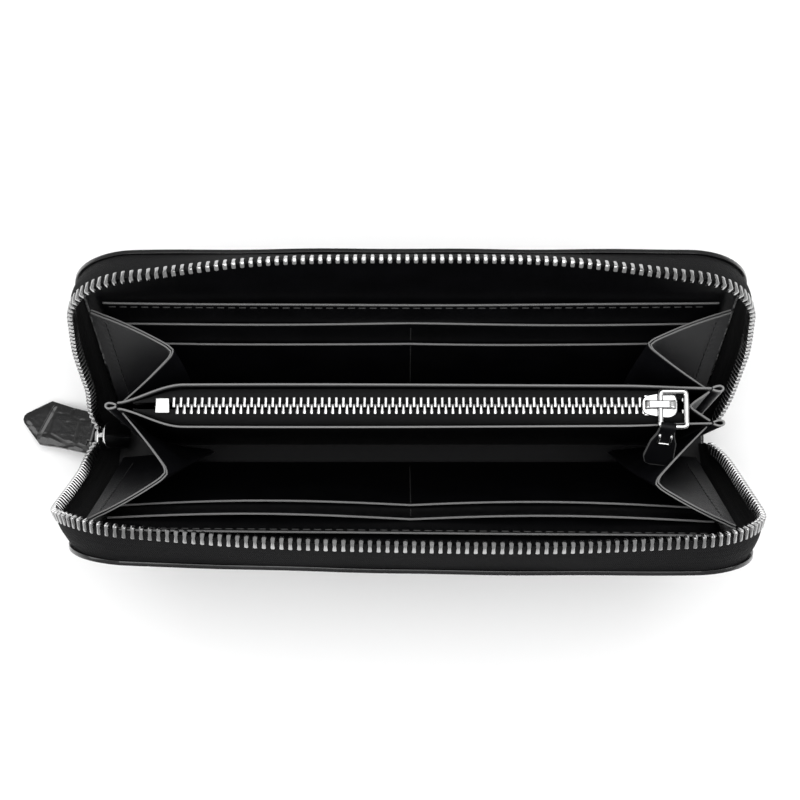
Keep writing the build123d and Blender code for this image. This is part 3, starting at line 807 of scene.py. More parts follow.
# %% [markdown]
# ## How the tape leans
# A tape that is free at one edge doesn't stand square: along the top its middle falls back, and its
# legs lean outwards where the zip is undone. Both are angles that come and go smoothly, so the teeth
# run in one soft line. A cloth simulation could find it, but two angles are easier to adjust.

# %% Lean of the tape
FLARE = {(1, -1): 0.30, (1, 1): 0.33, (-1, -1): 0.52, (-1, 1): 0.30}
FLARE_TOP = {1: (52 * MM, 40 * MM), -1: (72 * MM, 28 * MM)}


def flare(side, x, height, out_x):
    """How far the tape's leg leans outwards, as an angle; none at the foot and along the top."""
    amount = np.where(x < 0, FLARE[side, -1], FLARE[side, 1])
    start, fade = FLARE_TOP[side]
    return amount * out_x ** 2 * smooth(height / (34 * MM)) * (1 - smooth((height - start) / fade))


def tape_point(side, distance, share):
    """A point of the tape at rest, share 0 at its seam and 1 at the teeth's middle line."""
    x, height, out_x, out_up = rim_flat(distance)
    middle = np.exp(-(x / (74 * MM)) ** 4) * smooth((height - 80 * MM) / (15 * MM))
    lean_back = {1: 0.76, -1: 0.42}[side] * middle
    base = 0.12
    width = RIM_DEPTH - LEATHER
    angle = (base + lean_back + flare(side, x, height, out_x)) * share ** 0.35
    out = width * share * np.sin(angle)
    deep = LEATHER + width * share * np.cos(angle)
    return on_cover(side, x + out * out_x, height + out * out_up, deep)


# %% [markdown]
# ## The two feet of the rim
# Low down both rows of teeth leave the covers and swing in: at the left to the slider's nose, at the
# right to the spine's end. A cubic curve from the last straight place to the foot is smooth at both
# ends, and is the curve that a stiff row of teeth takes by itself.

# %% Feet and the whole path
TILT = math.radians(45)
NOSE = np.array([-math.sin(TILT), 0, math.cos(TILT)])
SLIDER_MID = np.array([-HALF + 1.2 * MM, 0, 12.4 * MM])


def foot_curve(side, end, share):
    """The rim's path below its straight part: share 0 high on the cover, 1 at the foot."""
    start_distance = FOOT if end < 0 else RIM_LENGTH - FOOT
    step = (1 if end < 0 else -1) * MM
    start = tape_point(side, np.array([start_distance]), np.array([1.0]))[0]
    before = tape_point(side, np.array([start_distance + step]), np.array([1.0]))[0]
    heading = (start - before) / np.linalg.norm(start - before)
    if end < 0:
        stop = SLIDER_MID + NOSE * 5.4 * MM + np.array([0, side * 2.3 * MM, 0])
        arrive = np.array([0.45, -side * 0.75, -0.75])
    else:
        stop = np.array([HALF - 1.5 * MM, side * 2.0 * MM, 9.0 * MM])
        arrive = np.array([-0.5, -side * 0.35, -0.8])
    arrive = arrive / np.linalg.norm(arrive)
    t = np.asarray(share)[:, None]
    p1, p2 = start + heading * 10 * MM, stop - arrive * 8 * MM
    return (1 - t) ** 3 * start + 3 * t * (1 - t) ** 2 * p1 + 3 * t * t * (1 - t) * p2 + t ** 3 * stop


def rim_path(side):
    """Closely spaced points of the whole tooth line, left foot to right foot."""
    run = np.linspace(FOOT, RIM_LENGTH - FOOT, 700)
    straight = tape_point(side, run, np.ones_like(run))
    t = np.linspace(0, 1, 90)
    left, right = foot_curve(side, -1, t), foot_curve(side, 1, t)
    return np.concatenate([left[::-1][:-1], straight, right[1:]])


def along(path, steps):
    """Points at given distances along a path."""
    lengths = np.concatenate([[0], np.cumsum(np.linalg.norm(np.diff(path, axis=0), axis=1))])
    return np.stack([np.interp(steps, lengths, path[:, i]) for i in range(3)], axis=-1), lengths[-1]


print("tooth line of each cover", [float(along(rim_path(side), [0.0])[1]) for side in SIDES.values()])

# %% [markdown]
# ## Main zip: the tapes
# A tape is a ribbon from the cover's seam to the teeth. It is woven cloth, and it bends between the
# spine and the cover near its two feet, where the slider holds it.

# %% Tapes
TAPE_WIDTH = 10.2 * MM


def seam_path(side):
    """The tape's seam on the cover, with a point for each point of the rim's path."""
    run = np.linspace(FOOT, RIM_LENGTH - FOOT, 700)
    x, height, _, _ = rim_flat(run)
    t = np.linspace(0, 1, 90)
    down = np.clip(FOOT + (2 * MM - FOOT) * t / 0.7, 2 * MM, FOOT)
    tuck = smooth((t - 0.7) / 0.3)[:, None]
    feet = []
    for end in (-1, 1):
        foot = on_cover(side, np.full(90, end * rim_half), down, LEATHER)
        under = np.array([end * (rim_half - 0.5 * MM), side * 1.2 * MM, 2.0 * MM])
        feet.append(foot + (under - foot) * tuck)
    left, right = feet
    return np.concatenate([left[::-1][:-1], on_cover(side, x, height, LEATHER), right[1:]])


# %% [markdown]
# ## Weaving the tape between two lines
# The tape is a grid drawn between the line of its seam and the line of its teeth, bowed out a little
# across its width.

# %% Tape sheets
def zip_tape(side, name):
    """The tape of one cover, and the length of its tooth line."""
    rim, seam = rim_path(side), seam_path(side)
    columns, rows = 420, 8
    length = float(np.linalg.norm(np.diff(rim, axis=0), axis=1).sum())
    piece, u, v = grid(name, columns, rows, (length, TAPE_WIDTH))
    at = u * (len(rim) - 1)
    index = np.arange(len(rim))
    top = np.stack([np.interp(at, index, rim[:, i]) for i in range(3)], axis=-1)
    low = np.stack([np.interp(at, index, seam[:, i]) for i in range(3)], axis=-1)
    middle = (top + low) / 2
    centre = np.stack([middle[:, 0] * 0.86, middle[:, 1], middle[:, 2] * 0.86], axis=-1)
    away = middle - centre
    away /= np.maximum(np.linalg.norm(away, axis=1, keepdims=True), 1e-9)
    bow = (1.1 * MM * np.sin(math.pi * v))[:, None] * away
    move_points(piece, low + (top - low) * v[:, None] + bow)
    thicken(piece, 0.55 * MM, offset=0.0, soft=0)
    return piece, length


def bend_foot(piece):
    """Bakes a tape's or its teeth's place into their mesh."""
    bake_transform(piece)


for side_name, side in SIDES.items():
    tape, length = zip_tape(side, f"{side_name}_main_tape")
    finish_piece(tape, "tape", None, [f"{side_name}_zip_tape"], 60)
    bend_foot(tape)

# %% [markdown]
# ## Main zip: one tooth
# A metal tooth is a small jaw clenched round the tape's edge, with a rounded head that locks between
# two heads on the other side. One tooth is shaped from a cube by bevels and a pinch, then copied along
# the rim at the zip's pitch. It has only a few dozen faces, because there are nearly three hundred.

# %% A tooth
PITCH = 2.4 * MM


def tooth_pattern(width, length, tall, pinch):
    """A tooth lying along Y: its head is towards +Y."""
    bpy.ops.object.select_all(action="DESELECT")
    bpy.ops.mesh.primitive_cube_add(size=1)
    piece = bpy.context.active_object
    piece.scale = (width, length, tall)
    bpy.ops.object.transform_apply(location=False, rotation=False, scale=True)
    bpy.ops.object.mode_set(mode="EDIT")
    bpy.ops.mesh.select_all(action="SELECT")
    bpy.ops.mesh.bisect(plane_co=(0, 0.12 * length, 0), plane_no=(0, 1, 0))
    bpy.ops.object.mode_set(mode="OBJECT")
    points = points_of(piece)
    waist = np.isclose(points[:, 1], 0.12 * length)
    points[waist, 0] *= pinch
    points[waist, 2] *= 0.9
    head = points[:, 1] > 0.2 * length
    points[head, 2] *= 0.78
    move_points(piece, points)
    modify(piece, "BEVEL", width=0.32 * width, segments=2, limit_method="ANGLE",
           angle_limit=math.radians(40))
    return piece


# %% [markdown]
# ## Setting the teeth
# Each tooth points along the tape's width, square to the line of teeth. The front row is set half a
# pitch on from the rear row, so that the two would mesh.

# %% Rows of teeth
def zip_teeth(side, name, stagger):
    """All the teeth of one cover, in one piece."""
    rim = rim_path(side)
    _, total = along(rim, np.array([0.0]))
    steps = np.arange(0.6 * PITCH + stagger * PITCH, total - 1.2 * PITCH, PITCH)
    at, _ = along(rim, steps)
    ahead, _ = along(rim, np.minimum(steps + 0.3 * MM, total))
    seam = seam_path(side)
    lengths = np.concatenate([[0], np.cumsum(np.linalg.norm(np.diff(rim, axis=0), axis=1))])
    low = np.stack([np.interp(steps, lengths, seam[:, i]) for i in range(3)], axis=-1)
    pattern = tooth_pattern(width=1.45 * MM, length=3.5 * MM, tall=2.5 * MM, pinch=0.74)
    places = []
    for here, next_one, root in zip(at, ahead, low):
        line = (next_one - here) / np.linalg.norm(next_one - here)
        head = here - root
        head = head - line * head.dot(line)
        head /= np.linalg.norm(head)
        place = np.eye(4)
        place[:3, 0], place[:3, 1], place[:3, 2] = line, head, np.cross(line, head)
        place[:3, 3] = here - head * 0.2 * MM
        places.append(place)
    made = copies(name, pattern, places)
    drop(pattern)
    return made


for side_name, side in SIDES.items():
    teeth = zip_teeth(side, f"{side_name}_main_teeth", 0.0 if side > 0 else 0.5)
    finish_piece(teeth, "metal", None, [f"{side_name}_zip_teeth", f"{side_name}_zip_stop"], 30)
    bend_foot(teeth)

# %% [markdown]
# ## Seams
# Waxed thread is sewn in short stitches with a gap where each one dives into the leather. One stitch
# is a small rounded bar, modelled once, and each seam holds copies of it.

# %% Stitches
STITCH_STEP = 3.2 * MM


def stitch_pattern(length):
    """One stitch along X, its ends bent down into the leather."""
    bpy.ops.object.select_all(action="DESELECT")
    bpy.ops.mesh.primitive_cylinder_add(vertices=6, radius=0.22 * MM, depth=length,
                                        rotation=(0, math.pi / 2, 0))
    piece = bpy.context.active_object
    bpy.ops.object.transform_apply(location=False, rotation=True, scale=False)
    modify(piece, "BEVEL", width=0.1 * MM, segments=2, limit_method="ANGLE", angle_limit=math.radians(60))
    points = points_of(piece)
    points[:, 2] -= 0.12 * MM * (2 * points[:, 0] / length) ** 2
    move_points(piece, points)
    return piece


# %% [markdown]
# ## Sewing a line
# A seam is a list of points, and one stitch is laid between each two. It is told which way is out of
# the leather, so that the stitch's ends dive in.

# %% Seams
def seam(name, path_points, outward, length=2.1 * MM):
    """Stitches between neighbouring points of a seam; outward is the leather's outer direction."""
    pattern = stitch_pattern(length)
    places = []
    for start, end in zip(path_points[:-1], path_points[1:]):
        places.append(frame_at((start + end) / 2, end - start, outward))
    made = copies(name, pattern, places)
    drop(pattern)
    return made


# %% [markdown]
# ## Seams on the pockets
# One seam runs under the bill panel's upper edge, and one up the middle, which divides the card slots.
# The middle one is sewn in two runs, because it climbs from the lower strip to the upper one.

# %% Panel and divider seams
for side_name, side in SIDES.items():
    facing = np.array([0, -side * math.cos(LEAN[side]), math.sin(LEAN[side])])
    bill_top = cad_height(f"{side_name}_bill_panel", side)
    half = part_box(f"{side_name}_bill_panel")[1][0] - 1 * MM
    xs = np.arange(-half, half, STITCH_STEP)
    swell = BILL_FACE + bill_swell(xs, half + 1 * MM)
    rows = on_cover(side, xs, bill_top - 1.9 * MM, swell)
    top_seam = seam(f"{side_name}_panel_seam", rows, facing)
    finish_piece(top_seam, "thread", f"{side_name}_cover", [f"{side_name}_panel_stitches"])
    runs = []
    start = 9 * MM
    for part in ("card_strip_lower", "card_strip_upper"):
        stop = cad_height(f"{side_name}_{part}", side) - 0.6 * MM
        heights = np.arange(start, stop, STITCH_STEP * 0.8)
        rows = on_cover(side, 0 * heights, heights, strip_face(side, part, heights))
        runs.append(seam(part, rows, facing))
        start = stop + 1.2 * MM
    divider = join(f"{side_name}_divider_seam", runs)
    finish_piece(divider, "thread", f"{side_name}_cover", [f"{side_name}_divider_stitches"])

# %% [markdown]
# ## Coin compartment
# Two walls of calf stand on the spine, near together at the left and wider at the right, where a small
# folded gusset closes the end. Their top edges run in one soft curve from end to end, so the walls'
# width is drawn as a smooth line and not as straight runs with corners.

# %% Walls
COIN_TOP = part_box("coin_wall_rear")[1][2]
COIN_LEFT, COIN_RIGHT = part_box("coin_wall_rear")[0][0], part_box("coin_wall_rear")[1][0]
COIN_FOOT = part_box("coin_base")[1][2]
LEAN_BACK = 1.0 * MM


def coin_middle(z):
    """Where the middle between the walls lies; the compartment leans back a little."""
    return LEAN_BACK * (z - COIN_FOOT) / (COIN_TOP - COIN_FOOT)


def coin_half(x, z):
    """Half the width between the walls' outer faces, as one smooth line."""
    near = smooth((x - COIN_LEFT) / (19 * MM))
    far = smooth((COIN_RIGHT - x) / (26 * MM))
    top = (1.0 + 5.2 * near ** 0.8) * MM - 0.9 * MM * (1 - far)
    top = top + 0.25 * MM * np.sin((x - COIN_LEFT) / (38 * MM)) * near * far
    foot = np.minimum(1.6 * MM, top)
    share = (z - COIN_FOOT) / (COIN_TOP - COIN_FOOT)
    return foot + share * (top - foot)


def coin_wall(side, name):
    """One wall of the compartment, its upper edge a little wavy."""
    thick = 0.6 * MM
    piece, u, v = grid(name, 150, 26, (COIN_RIGHT - COIN_LEFT, COIN_TOP - COIN_FOOT))
    x = COIN_LEFT + u * (COIN_RIGHT - COIN_LEFT)
    v = 1 - (1 - v) ** 1.5
    dip = {1: 0.5, -1: 0.8}[side] * MM * (0.5 + 0.5 * np.sin(x / (27 * MM) + side))
    z = COIN_FOOT + v * (COIN_TOP - dip * v ** 4 - COIN_FOOT)
    lip = 0.1 * MM * smooth((v - 0.975) / 0.01)
    y = coin_middle(z) + side * (coin_half(x, z) - thick / 2 + lip)
    move_points(piece, np.stack([x, y, z], axis=-1))
    # The edge mark along the top makes the calf finish paint a pale highlight there.
    paint(piece, "edge", smooth((v - 0.988) / 0.006))
    thicken(piece, thick, offset=0.0, soft=0.42)
    return piece


for side_name, side in SIDES.items():
    wall = coin_wall(side, f"coin_{side_name}_wall")
    finish_piece(wall, "calf", "spine", [f"coin_wall_{side_name}"])

# %% [markdown]
# ## Ends of the coin compartment
# At the left both walls meet in one bound loop. At the right each wall ends in its own loop, and a
# V-shaped gusset of thin leather is folded between them, so the mouth can open wide.

# %% Bound ends and the small gusset
def bound_loop(name, x, direction, foot_y, top_y, reach):
    """A teardrop of folded leather, standing along a wall's end."""
    piece, u, v = grid(name, 24, 30, (8 * MM, COIN_TOP - COIN_FOOT))
    turn = (u - 0.5) * 2 * math.pi * 0.86
    long, wide = reach / 2, 0.75 * MM
    centre = x + direction * (0.2 * MM + long)
    level = COIN_FOOT + v * (COIN_TOP - 0.4 * MM - COIN_FOOT)
    y0 = foot_y + (top_y - foot_y) * v
    spread = 0.55 + 0.45 * v
    px = centre + direction * long * np.cos(turn)
    py = y0 + wide * spread * np.sin(turn) * (1 + 0.35 * np.cos(turn))
    move_points(piece, np.stack([px, py, level], axis=-1))
    # The edge mark along the top makes the finish paint a pale highlight there.
    paint(piece, "edge", smooth((v - 0.985) / 0.008))
    thicken(piece, 0.5 * MM, offset=0.0, soft=0.4)
    return piece


# %% [markdown]
# ## Loops where the walls end
# The left loop takes both walls, and each wall has its own at the right. They are the same folded
# strip at three places, so one function shapes them and they are joined to one piece.

# %% The three loops
def coin_ends():
    """The left loop and the two right ones, as one piece."""
    top = coin_middle(COIN_TOP)
    reach = 3.2 * MM
    left = bound_loop("loop_left", COIN_LEFT, -1, 0, top, reach)
    right = []
    for side in (1, -1):
        foot = coin_half(COIN_RIGHT, COIN_FOOT) - 0.3 * MM
        rim = coin_half(COIN_RIGHT, COIN_TOP) - 0.3 * MM
        right.append(bound_loop(f"loop_{side}", COIN_RIGHT, 1, side * foot, top + side * rim, reach))
    return join("coin_bound_ends", [left] + right)


# %% [markdown]
# ## The small gusset
# Between the right loops a strip is folded inwards like a V. It is one sheet across the opening, and
# its middle is drawn in with a rounded crease, as leather folds, and not with a sharp line.

# %% Small gusset
def coin_v_gusset(name):
    """The folded strip between the two right loops."""
    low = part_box("coin_end_gusset")[0][2]
    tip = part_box("coin_end_gusset")[0][0] + 1.0 * MM
    mouth = COIN_RIGHT - 0.5 * MM
    piece, u, v = grid(name, 30, 24, (26 * MM, COIN_TOP - low))
    z = low + v * (COIN_TOP - 1.4 * MM - low)
    inner = coin_half(np.full_like(z, mouth), z) - 1.0 * MM
    across = 2 * u - 1
    fold = 1 - np.sqrt(across ** 2 + 0.02)
    x = mouth - (mouth - tip) * np.clip(fold, 0, 1) * (1 + 0.08 * np.sin(3 * v))
    y = coin_middle(z) + inner * across
    move_points(piece, np.stack([x, y, z], axis=-1))
    # The edge mark along the top makes the finish paint a pale highlight there.
    paint(piece, "edge", smooth((v - 0.985) / 0.008))
    thicken(piece, 0.5 * MM, offset=0.0, soft=0.4)
    return piece


finish_piece(coin_ends(), "edge", "spine", ["coin_end_bindings"])
finish_piece(coin_v_gusset("coin_v_gusset"), "gusset", "spine", ["coin_end_gusset"])

# %% [markdown]
# ## Coin zip
# The coin zip is a size smaller. Each of its tapes is sewn inside a wall and runs nearly level to the
# teeth, which are closed: both rows mesh along one line.

# %% Coin tapes
LEVEL = (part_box("coin_zip_teeth_rear")[0][2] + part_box("coin_zip_teeth_rear")[1][2]) / 2
CHAIN_MIDDLE = coin_middle(LEVEL)
COIN_PITCH = 2.03 * MM
TAPE_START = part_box("coin_zip_tape_rear")[0][0] - 8 * MM
TAPE_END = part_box("coin_zip_tape_rear")[1][0]


def coin_tape(side, name):
    """One coin tape, from its seam in the wall up and in to the teeth."""
    piece, u, v = grid(name, 160, 12, (TAPE_END - TAPE_START, 12 * MM))
    x = TAPE_START + u * (TAPE_END - TAPE_START)
    root = coin_half(x, np.full_like(x, LEVEL - 4 * MM)) - 0.95 * MM
    head = np.minimum(1.0 * MM, root * 0.6)
    rise = np.sin(np.clip(v * 1.5, 0, 1) * math.pi / 2)
    y = root + (head - root) * np.clip((v - 0.25) / 0.75, 0, 1)
    z = LEVEL - 7 * MM + (6.9 * MM) * rise
    opened = smooth((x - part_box("coin_slider")[0][0]) / (9 * MM))
    y = y + opened * v * 0.9 * MM
    move_points(piece, np.stack([x, CHAIN_MIDDLE + side * y, z], axis=-1))
    thicken(piece, 0.5 * MM, offset=0.0, soft=0)
    return piece


for side_name, side in SIDES.items():
    tape = coin_tape(side, f"coin_{side_name}_tape")
    finish_piece(tape, "tape", "spine", [f"coin_zip_tape_{side_name}"], 60)

# %% [markdown]
# ## Coin teeth
# The coin zip is closed, so its two rows mesh: the front row is turned half a turn. Their number and
# places come from the frame's box, and the pitch is that of a small zip.

# %% Coin teeth
def coin_teeth(side, name):
    """One closed row of the coin zip."""
    pattern = tooth_pattern(width=1.05 * MM, length=3.1 * MM, tall=1.9 * MM, pinch=0.78)
    low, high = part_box(f"coin_zip_teeth_{name}")
    start = low[0] + 0.45 * MM
    count = int(round((high[0] - low[0] - 0.9 * MM) / COIN_PITCH)) + 1
    places = []
    for i in range(count):
        place = np.eye(4)
        place[:3, 1], place[:3, 0] = (0, -side, 0), (side, 0, 0)
        place[:3, 3] = (start + i * COIN_PITCH, CHAIN_MIDDLE + side * 0.95 * MM, LEVEL)
        places.append(place)
    made = copies(f"coin_{name}_teeth", pattern, places)
    drop(pattern)
    return made


for side_name, side in SIDES.items():
    teeth = coin_teeth(side, side_name)
    finish_piece(teeth, "metal", "spine", [f"coin_zip_teeth_{side_name}"], 30)

# %% [markdown]
# ## Small metal parts of the coin zip
# A box joins the tapes at the closed end, and two stops clamp them past the slider. Each starts as a
# cube of its own size and has its edges rounded, and the box also gets a groove by inset and extrude.

# %% End box and stops
def rounded_block(name, low, high, width, groove=0.0):
    """A block between two corners, its top face inset and sunk a little, its edges rounded."""
    low, high = np.array(low), np.array(high)
    bpy.ops.object.select_all(action="DESELECT")
    bpy.ops.mesh.primitive_cube_add(size=1, location=(low + high) / 2, scale=high - low)
    piece = bpy.context.active_object
    piece.name = piece.data.name = name
    bpy.ops.object.transform_apply()
    if groove:
        for face in piece.data.polygons:
            face.select = face.normal.z > 0.9
        bpy.ops.object.mode_set(mode="EDIT")
        bpy.ops.mesh.select_mode(type="FACE")
        bpy.ops.mesh.inset(thickness=width * 1.6, depth=-groove)
        bpy.ops.object.mode_set(mode="OBJECT")
    modify(piece, "BEVEL", width=width, segments=3, limit_method="ANGLE", angle_limit=math.radians(35))
    face_outwards(piece)
    return piece


# %% [markdown]
# ## Placing the box and the stops
# The box and both stops take the frame's boxes as they are. Only the edges are softened.

# %% Box and stops in place
end_box = rounded_block("coin_end_box", *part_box("coin_zip_end_box"), 0.35 * MM, 0.12 * MM)
finish_piece(end_box, "metal", "spine", ["coin_zip_end_box"])
low, high = (np.array(corner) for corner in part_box("coin_zip_stops"))
stop_width = 1.4 * MM
stops = []
for y0, y1 in ((low[1], low[1] + stop_width), (high[1] - stop_width, high[1])):
    stops.append(rounded_block("stop", (low[0], y0, low[2]), (high[0], y1, high[2]), 0.3 * MM))
finish_piece(join("coin_end_stops", stops), "metal", "spine", ["coin_zip_stops"])

# %% [markdown]
# ## Sliders
# A slider is two rounded plates held apart by a post at the nose, with flanges along the tail that
# keep the teeth in, and an arched bridge that holds the pull. Both sliders are the same shape in two
# sizes, so one function makes them: nose towards +X, bridge towards +Z, then turned to its place.

# %% Slider parts
def slider_plate(length, nose, tail, thick, level):
    """A rounded plate, wide at the nose and narrow at the tail."""
    bpy.ops.object.select_all(action="DESELECT")
    bpy.ops.mesh.primitive_cylinder_add(vertices=48, radius=1, depth=thick, location=(0, 0, level))
    piece = bpy.context.active_object
    bpy.ops.object.transform_apply()
    points = points_of(piece)
    square = np.sign(points[:, :2]) * np.abs(points[:, :2]) ** 0.62
    wide = tail / 2 + (nose - tail) / 2 * smooth(square[:, 0] * 0.8 + 0.5)
    points[:, 0] = square[:, 0] * length / 2
    points[:, 1] = square[:, 1] * wide
    points[:, 2] -= np.sign(level) * 0.12 * thick * (square[:, 0] ** 2)
    move_points(piece, points)
    modify(piece, "BEVEL", width=0.32 * thick, segments=3, limit_method="ANGLE",
           angle_limit=math.radians(50))
    return piece


# %% [markdown]
# ## The bridge and the whole slider
# The bridge is a flat bar bent up and over. A torus would be round all along, so a strip is bent
# with a squarer arch, as pressed metal has. Then plates, post, flanges and bridge become one piece.

# %% Bridge and body
def slider_bridge(length, base, arch, width, thick):
    """A flat bar bent up and over, from the nose to the tail."""
    piece, u, v = grid("bridge", 26, 4, (length, width))
    turn = math.pi * (1 - u)
    x = 0.4 * length * np.sign(np.cos(turn)) * np.abs(np.cos(turn)) ** 0.55
    z = base + (arch - thick / 2) * np.abs(np.sin(turn)) ** 0.55
    y = (v - 0.5) * width * (1 + 0.25 * np.abs(np.cos(turn)) ** 3)
    move_points(piece, np.stack([x, y, z], axis=-1))
    thicken(piece, thick, offset=0.0, soft=0.35)
    return piece


def slider_body(name, length, nose, tail, plate, gap, flange, arch, bridge):
    """A whole slider, nose towards +X."""
    level = gap / 2 + plate / 2
    parts = [slider_plate(length, nose, tail, plate, z) for z in (level, -level)]
    post_x = length / 2 - 1.6 * MM
    parts.append(rounded_block("post", (post_x - 1.2 * MM, -0.8 * MM, -gap / 2 - 0.1 * MM),
                               (post_x + 1.2 * MM, 0.8 * MM, gap / 2 + 0.1 * MM), 0.3 * MM))
    for z, side in ((1, 1), (1, -1), (-1, 1), (-1, -1)):
        edge, low = side * (tail / 2 - 0.15 * MM), z * (gap / 2 + 0.1 * MM)
        inner, high = edge - side * 0.55 * MM, z * (gap / 2 - flange)
        corners = [sorted(pair) for pair in ((-length / 2 + 0.6 * MM, 0.4 * MM), (edge, inner), (low, high))]
        parts.append(rounded_block("flange", [c[0] for c in corners], [c[1] for c in corners], 0.15 * MM))
    parts.append(slider_bridge(length, gap / 2 + plate - 0.15 * MM, arch, bridge, 0.9 * MM))
    return join(name, parts)


def put(piece, place):
    """Turns and moves a piece's points by a 4 by 4 place."""
    points = points_of(piece)
    move_points(piece, points @ place[:3, :3].T + place[:3, 3])
    face_outwards(piece)


# %% [markdown]
# ## Coin slider
# It rides on the coin zip's middle, so its place is the middle of the frame's box and the zip's line.

# %% Coin slider
slider_low, slider_high = (np.array(corner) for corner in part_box("coin_slider"))
coin_slider = slider_body("coin_slider_body", length=10 * MM, nose=7.6 * MM, tail=6.2 * MM, plate=0.7 * MM,
                          gap=2.6 * MM, flange=0.8 * MM, arch=2.6 * MM, bridge=2.2 * MM)
place = np.eye(4)
place[:3, 3] = ((slider_low[0] + slider_high[0]) / 2, CHAIN_MIDDLE, LEVEL)
put(coin_slider, place)
finish_piece(coin_slider, "metal", "coin_slider", ["coin_slider"])

# %% [markdown]
# ## Main slider
# It waits at the foot of the left end, tilted up along the rim, with both rows running into its nose.

# %% Main slider
main_slider = slider_body("main_slider_body", length=11 * MM, nose=9.6 * MM, tail=7.6 * MM, plate=0.9 * MM,
                          gap=2.8 * MM, flange=0.8 * MM, arch=3.6 * MM, bridge=2.6 * MM)
outward = np.array([-math.cos(TILT), 0, -math.sin(TILT)])
put(main_slider, frame_at(SLIDER_MID, NOSE, outward))
finish_piece(main_slider, "metal", "main_slider", ["main_slider"])

# %% [markdown]
# ## Pull rings
# A pull ring is round wire bent to a rounded rectangle. A closed NURBS path with two points near each
# corner gives straight sides and soft corners, and its bevel depth makes the wire.

# %% Wire rings
def wire(name, route, radius, closed=False):
    """Round wire along a smooth curve through a route."""
    bpy.ops.object.select_all(action="DESELECT")
    bpy.ops.curve.primitive_nurbs_path_add()
    piece = bpy.context.active_object
    piece.name = name
    spline = piece.data.splines[0]
    spline.points.add(max(0, len(route) - len(spline.points)))
    for point, at in zip(spline.points, route):
        point.co = (*at, 1.0)
    spline.use_cyclic_u = closed
    spline.use_endpoint_u = not closed
    spline.order_u = 3
    spline.resolution_u = 8
    piece.data.bevel_depth, piece.data.bevel_resolution = radius, 3
    piece.data.use_fill_caps = not closed
    only(piece)
    bpy.ops.object.convert(target="MESH")
    piece = bpy.context.active_object
    piece.location = (0, 0, 0)
    face_outwards(piece)
    return piece


def ring_route(length, width, corner):
    """Points round a rounded rectangle whose near side lies on the Y axis."""
    corners = [(0, -width / 2), (length, -width / 2), (length, width / 2), (0, width / 2)]
    route = []
    for i, (x, y) in enumerate(corners):
        for j in (i - 1, (i + 1) % 4):
            ox, oy = corners[j][0] - x, corners[j][1] - y
            size = math.hypot(ox, oy)
            route.append((x + ox / size * corner, y + oy / size * corner, 0))
            if j == i - 1:
                route.append((x, y, 0))
    return route


# %% [markdown]
# ## The coin zip's ring
# It turns about the bridge, so its near side lies on the joint's own line, and its length is what the
# frame's box leaves. The wire is a little thicker than it needs, as cast rings are.

# %% Coin ring
ring_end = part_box("coin_pull_ring")[1][0]
coin_flip = joints["coin_ring_flip"]["pos_m"]
coin_ring = wire("coin_ring_wire", ring_route(ring_end - coin_flip[0] - 0.5 * MM, 10.2 * MM, 2.2 * MM),
                 0.78 * MM, closed=True)
place = np.eye(4)
place[:3, 3] = coin_flip
put(coin_ring, place)
finish_piece(coin_ring, "metal", "coin_pull_ring", ["coin_pull_ring"])

# %% [markdown]
# ## Main ring
# The big ring and the puller share one line from the bridge to the puller's fold. PULL is that line
# as a place in space, and both are modelled flat and then put there.

# %% Main ring and the line of the puller
ring_at = np.array(joints["main_ring_swing"]["pos_m"])
bar_at = np.array(joints["main_puller_swing"]["pos_m"])
reach = bar_at - ring_at
puller_up = np.array([0, 0, 1.0])
PULL = frame_at(ring_at, reach, puller_up)
BAR = float(np.linalg.norm(reach))
main_ring = wire("main_ring_wire", ring_route(BAR, 7.6 * MM, 1.8 * MM), 0.55 * MM,
                 closed=True)
put(main_ring, PULL)
finish_piece(main_ring, "metal", "main_pull_ring", ["main_pull_ring"])

# %% [markdown]
# ## Leather puller
# The puller is a pointed strap of the outer hide, folded round the ring and filled, so it is thick and
# rounded. Its outline is a long hexagon. A narrow tongue goes round the ring's bar between its arms.

# %% Puller
def tongue(name, bar_x, half_width, inner, thick, run):
    """A strip folded round a bar that lies along Y at bar_x, open towards +X."""
    piece, u, v = grid(name, 26, 8, (2 * run + 3 * inner, 2 * half_width))
    radius = inner + thick / 2
    arc = math.pi * radius
    path = (u - 0.5) * (2 * run + arc)
    turn = np.clip(path / radius, -math.pi / 2, math.pi / 2)
    x = bar_x - radius * np.cos(turn) + np.maximum(np.abs(path) - arc / 2, 0)
    z = radius * np.sin(turn)
    move_points(piece, np.stack([x, (v - 0.5) * 2 * half_width, z], axis=-1))
    paint(piece, "valley", 0 * u)
    paint(piece, "edge", 0 * u)
    thicken(piece, thick, offset=0.0, soft=0.3)
    return piece


# %% [markdown]
# ## The puller's body
# The strap is a grid cut to its outline, crowned, and pressed with two rows of large scales. The two
# notches beside the tongue let the ring's arms turn. They are deleted faces, found by their place.

# %% Strap of the puller
PULLER_SCALES = np.array([9.5, 7.6]) * MM


